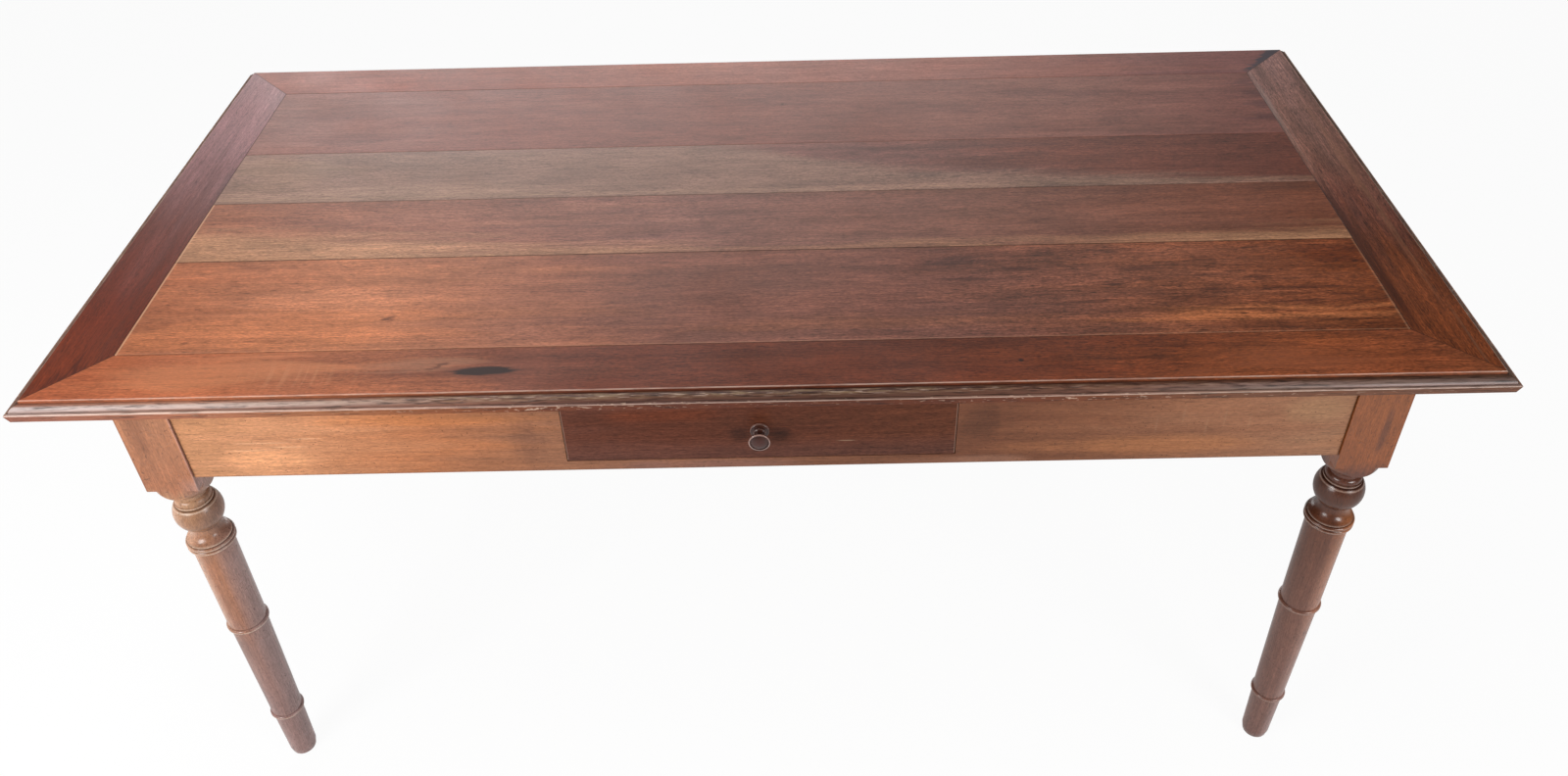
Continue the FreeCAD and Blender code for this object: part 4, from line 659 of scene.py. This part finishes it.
def knob_material():
    """A small knob turned from darker wood and polished by use, with highlights painted on its
    rims.
    """
    # The own frame's X is the knob's axis, and its Z is the height.
    timber = Timber("polished_turned_knob", seed=51.0, turn=(0, 0, math.radians(90)))
    timber.tone((-0.40, "#3A211C"), (-0.33, "#46281F"))
    timber.figure(0.5)
    timber.lay("#441A10", 0.9, near(timber.tree, timber.x, KNOB_LOW.y, 2.2 * MM))
    world = add(timber.tree, "TexCoord").node.outputs["Object"]
    radius = distance(timber.tree, world, (KNOB_X, KNOB_LOW.y, KNOB_Z), (1, 1000, 1))
    # The painted rim highlights are lighter on the knob's lower side.
    lightening = ramp(timber.tree, timber.z,
                  ((KNOB_Z - 0.009, "#DCC4BA"), (KNOB_Z + 0.003, "#B08C80")))
    for rim, place, across, along, strength in KNOB_RIM_HIGHLIGHTS:
        timber.lay(lightening, strength, near(timber.tree, radius, rim * MM, across * MM),
                   near(timber.tree, timber.x, place, along * MM))
    dress(timber.finish(roughness=0.18, patchy=0.04, bump=0.04, gloss=0.45, coat=0.2),
          "drawer_knob")


apron("apron_front", 0, 31.0, (
    (-0.70, "#BC845C"), (-0.60, "#C88C64"), (-0.40, "#B4724A"), (-0.27, "#966448"),
    (0.26, "#6C402A"), (0.40, "#805036"), (0.60, "#96664A"), (0.70, "#986C50")),
    front_apron_marks)
apron("apron_back", 180, 33.0, PLAIN_APRON)
apron("apron_left", 270, 35.0, PLAIN_APRON)
apron("apron_right", 90, 37.0, PLAIN_APRON)
drawer_face()
knob_material()


# ------------------------------------------------------------------ legs

# Heights of the turned grooves and of the rings' crests, in mm.
GROOVES = (546.2, 501.5, 480.7, 474.5, 468.7, 310.4, 301.6, 103.8, 96.2)
CRESTS = (548.6, 543.8, 482.2, 477.4, 471.6, 306.0, 100.0)
PLAIN_LEG = ((0.0, "#664032"), (0.758, "#744A3A"))
# The greyish colour of a sheen painted on the front left leg's right side.
PAINTED_SHEEN = "#BCA09E"


def leg(node, seed, tones, marks=None, crest="#C09C82"):
    """A turned leg, its grain upright: dirt and painted shade in the grooves, and pale lines on
    the rings' crests, partly rubbed wood and partly painted highlight.

    The own frame's X is the height, and its Z points to the left.
    """
    low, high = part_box(node)
    timber = Timber(f"turned_walnut_{node}", seed, (0, math.radians(-90), 0), face=(1, low.y),
                    wander=3 * MM)
    timber.tone(*tones, waver=12 * MM)
    if marks:
        marks(timber, -low.x, -high.x)
    timber.figure(0.9, stripe=6 * MM)
    # Dirt and painted shade in the grooves.
    for height in GROOVES:
        timber.lay(DIRT_AND_SHADE, 0.6, near(timber.tree, timber.x, height * MM, 1.0 * MM))
    lightening = add(timber.tree, "MapRange", {0: timber.fibre, 1: 0.4, 2: 0.6, 3: 0.6})
    # Pale lines on the crests: rubbed wood and painted highlights.
    for height in CRESTS:
        timber.lay(crest, 0.75, near(timber.tree, timber.x, height * MM, 1.5 * MM), lightening)
    timber.specks(SPECK, 4 * MM, 0.70, 0.5)
    dress(timber.finish(roughness=0.28, gloss=0.6), node)


def left_leg_marks(timber, left, right):
    """Pale round its left side, partly wear and partly a painted lit side, and a painted greyish
    sheen round its right side.
    """
    timber.stain(0.70, left - 0.02, 0.06, 0.02, "#7E4A30", 0.5)
    masks = [add(timber.tree, "MapRange", {0: coordinate, 1: start, 2: full})
             for coordinate, start, full in ((timber.z, left - 0.028, left - 0.010),
                                             (timber.x, 0.585, 0.57), (timber.x, 0.28, 0.33))]
    timber.lay("#E8BA9E", 0.78, *masks)
    round_right = add(timber.tree, "MapRange", {0: timber.z, 1: left - 0.040, 2: right + 0.003})
    heights = ramp(timber.tree, timber.x, ((0.44, 1.0), (0.50, 0.30), (0.60, 0.30), (0.615, 0.0)))
    timber.lay(PAINTED_SHEEN, 0.85, round_right, heights)
    timber.lay(PAINTED_SHEEN, 0.35, near(timber.tree, timber.z, right, 2 * MM))


def right_leg_marks(timber, left, right):
    """Redder round its right side below the ball, and lighter there with a painted sheen."""
    timber.stain(0.66, right + 0.02, 0.07, 0.007, "#4A2A20", 0.6)
    round_right = add(timber.tree, "MapRange", {0: timber.z, 1: left - 0.029, 2: right + 0.016})
    # Painted sheen round the right side: greyish low down, redder up to the ball.
    lightening = ramp(timber.tree, timber.x, ((0.0, "#BE9A94"), (0.25, "#B88672"), (0.48, "#C07A50")))
    timber.lay(lightening, 0.75, round_right,
               add(timber.tree, "MapRange", {0: timber.x, 1: 0.51, 2: 0.48}))


# The lighter tone at 0.565 m up paints the highlight on the top of the ball.
leg("leg_front_left", 61.0, (
    (0.0, "#A07E78"), (0.14, "#947068"), (0.28, "#926C60"), (0.34, "#9A6850"), (0.45, "#A26C4E"),
    (0.49, "#9E7056"), (0.535, "#9C7052"), (0.565, "#B08666"), (0.60, "#A86A48"),
    (0.758, "#A6704E")), left_leg_marks, crest="#E8CEB8")
leg("leg_front_right", 63.0, (
    (0.0, "#7C584E"), (0.30, "#764E40"), (0.46, "#643A28"), (0.52, "#502C1C"),
    (0.575, "#60382A"), (0.60, "#864A26"), (0.758, "#8A4E28")), right_leg_marks, crest="#AE9282")
leg("leg_back_left", 65.0, PLAIN_LEG)
leg("leg_back_right", 67.0, PLAIN_LEG)


# ------------------------------------------------------------------ inside

IRON_PATCHES = 900.0                      # patches of rust in a metre


def bare_wood(name, colours, turn, seed, nodes):
    """Planed wood that was never stained or waxed, dry and dull."""
    timber = Timber(name, seed, (0, 0, math.radians(turn)))
    timber.tone((-0.4, colours[0]), (0.0, colours[1]), (0.4, colours[0]))
    timber.figure(1.0)
    dress(timber.finish(roughness=0.62, bump=0.2), *nodes)


def dulled_iron():
    """Screw heads and nails of drawn iron wire, gone brown and grey with age."""
    material = empty_material("dulled_iron")
    tree = material.node_tree
    place = add(tree, "TexCoord").node.outputs["Object"]
    cloud = add(tree, "TexNoise", {"Vector": place, "Scale": IRON_PATCHES, "Detail": 3.0})
    colour = ramp(tree, cloud, ((0.35, "#5A4436"), (0.6, "#8C867E")))
    shader = add(tree, "BsdfPrincipled", {
        "Base Color": colour, "Metallic": 1.0, "Roughness": 0.45})
    add(tree, "OutputMaterial", {"Surface": shader})
    dress(material, "button_screws", "bottom_nails")


bare_wood("dry_planed_pine", ("#A98258", "#B08A60"), 0, 71.0, (
    "mitre_splines", "top_buttons", "drawer_stops", "drawer_back", "drawer_bottom"))
bare_wood("dry_planed_oak", ("#8E6A46", "#967048"), 90, 73.0, (
    "runner_left", "runner_right", "kicker_left", "kicker_right", "drawer_side_left",
    "drawer_side_right"))
dulled_iron()


# ------------------------------------------------------------------ floor, light and camera

WHITE = (1, 1, 1, 1)
FLOOR_SIZE = 40
FLOOR_DROP = 0.2 * MM
PAPER_GLOW = 0.94                         # how much of the paper's white is its own light
MIRRORED_GLOW = 0.4                       # the same where a glossy face mirrors the floor
DOME_LEFT, DOME_RIGHT = 0.22, 0.05
BACKDROP = 5.0
# How bright the backdrop is from left to right, by the X of the direction.
BACKDROP_ACROSS = ((-0.53, 0.0), (-0.45, 0.25), (-0.41, 0.7), (-0.35, 1.0), (-0.05, 0.72),
                   (0.15, 0.46), (0.33, 0.15), (0.45, 0.0))
# Name, place, target, size and power in watts.
SOFTBOXES = (
    ("left_softbox", (-1.65, -1.8, 1.35), (-0.4, -0.3, 0.65), (1.0, 0.8), 37),
    ("right_softbox", (1.65, -1.8, 1.2), (0.4, -0.3, 0.65), (0.8, 0.5), 22),
    ("overhead_softbox", (-0.8, -0.1, 2.9), (-0.1, 0.0, 0.78), (1.8, 1.8), 30))
CAMERA_PLACE = (0.0484, -1.4369, 1.7007)
CAMERA_PITCH, CAMERA_YAW, CAMERA_ROLL = 0.65346, -0.01206, -0.02808     # radians
CAMERA_LENS = 28.555                      # mm, for the sensor width
CAMERA_SENSOR = 36
CAMERA_SHIFT = (-0.00255, -0.05784)       # shares of the picture's width


def floor():
    """A pale floor. To the camera it is white paper that keeps the table's soft shadow."""
    bpy.ops.mesh.primitive_plane_add(size=FLOOR_SIZE, location=(0, 0, -FLOOR_DROP))
    ground = bpy.context.object
    ground.name = "studio_floor"
    material = empty_material("white_paper_floor")
    tree = material.node_tree
    pale = add(tree, "BsdfDiffuse", {"Color": linear("#D2D2D2")})
    paper = add(tree, "BsdfDiffuse", {"Color": linear("#FCFCFC")})
    glow = add(tree, "Emission", {"Color": WHITE, "Strength": 1.0})
    seen = add(tree, "MixShader", {0: PAPER_GLOW, 1: paper, 2: glow})
    mirrored = add(tree, "MixShader", {0: MIRRORED_GLOW, 1: pale, 2: glow})
    rays = add(tree, "LightPath").node.outputs
    bounced = add(tree, "MixShader", {0: rays["Is Glossy Ray"], 1: pale, 2: mirrored})
    surface = add(tree, "MixShader", {0: rays["Is Camera Ray"], 1: bounced, 2: seen})
    add(tree, "OutputMaterial", {"Surface": surface})
    ground.data.materials.append(material)


def world_light():
    """A dim dome, with a bright backdrop low down behind the table and left of the middle.

    The camera sees it white.
    """
    world = bpy.data.worlds.new("studio_dome")
    bpy.context.scene.world = world
    world.use_nodes = True
    tree = world.node_tree
    tree.nodes.clear()
    direction = add(tree, "TexCoord").node.outputs["Generated"]
    x, y, z = add(tree, "SeparateXYZ", {0: direction}).node.outputs
    dome = add(tree, "MapRange", {0: x, 1: -1.0, 2: 1.0, 3: DOME_LEFT, 4: DOME_RIGHT})
    across = ramp(tree, x, BACKDROP_ACROSS)
    low = add(tree, "MapRange", {0: z, 1: 0.57, 2: 0.35}, interpolation_type="SMOOTHSTEP")
    behind = add(tree, "MapRange", {0: y, 1: 0.1, 2: 0.6, 4: BACKDROP})
    panel = add(tree, "Math", {0: low, 1: behind}, operation="MULTIPLY")
    level = add(tree, "Math", {0: across, 1: panel, 2: dome}, operation="MULTIPLY_ADD")
    light = add(tree, "Background", {"Color": WHITE, "Strength": level})
    white = add(tree, "Background", {"Color": WHITE, "Strength": 1.0})
    ray = add(tree, "LightPath").node.outputs["Is Camera Ray"]
    add(tree, "OutputWorld", {"Surface": add(tree, "MixShader", {0: ray, 1: light, 2: white})})


def softbox(name, place, target, size, power):
    """A rectangular light that the camera doesn't see, turned towards its target."""
    lamp = bpy.data.lights.new(name, "AREA")
    lamp.shape = "RECTANGLE"
    lamp.size, lamp.size_y = size
    lamp.energy = power
    holder = bpy.data.objects.new(name, lamp)
    holder.location = place
    holder.rotation_euler = (Vector(target) - Vector(place)).to_track_quat("-Z", "Y").to_euler()
    holder.visible_camera = False
    bpy.context.scene.collection.objects.link(holder)


def camera():
    """The camera in front of the table and above it, tilted down and rolled a little."""
    forward = Vector((math.sin(CAMERA_YAW) * math.cos(CAMERA_PITCH),
                      math.cos(CAMERA_YAW) * math.cos(CAMERA_PITCH), -math.sin(CAMERA_PITCH)))
    level = Vector((math.cos(CAMERA_YAW), -math.sin(CAMERA_YAW), 0))
    upright = level.cross(forward)
    right = math.cos(CAMERA_ROLL) * level + math.sin(CAMERA_ROLL) * upright
    up = math.cos(CAMERA_ROLL) * upright - math.sin(CAMERA_ROLL) * level
    turned = Matrix((right, up, -forward)).transposed().to_4x4()
    data = bpy.data.cameras.new("studio_camera")
    data.lens = CAMERA_LENS
    data.sensor_width = CAMERA_SENSOR
    data.shift_x, data.shift_y = CAMERA_SHIFT
    made = bpy.data.objects.new("studio_camera", data)
    made.matrix_world = Matrix.Translation(CAMERA_PLACE) @ turned
    bpy.context.scene.collection.objects.link(made)
    bpy.context.scene.camera = made


floor()
world_light()
for box in SOFTBOXES:
    softbox(*box)
camera()
bpy.context.scene.view_settings.view_transform = "Standard"
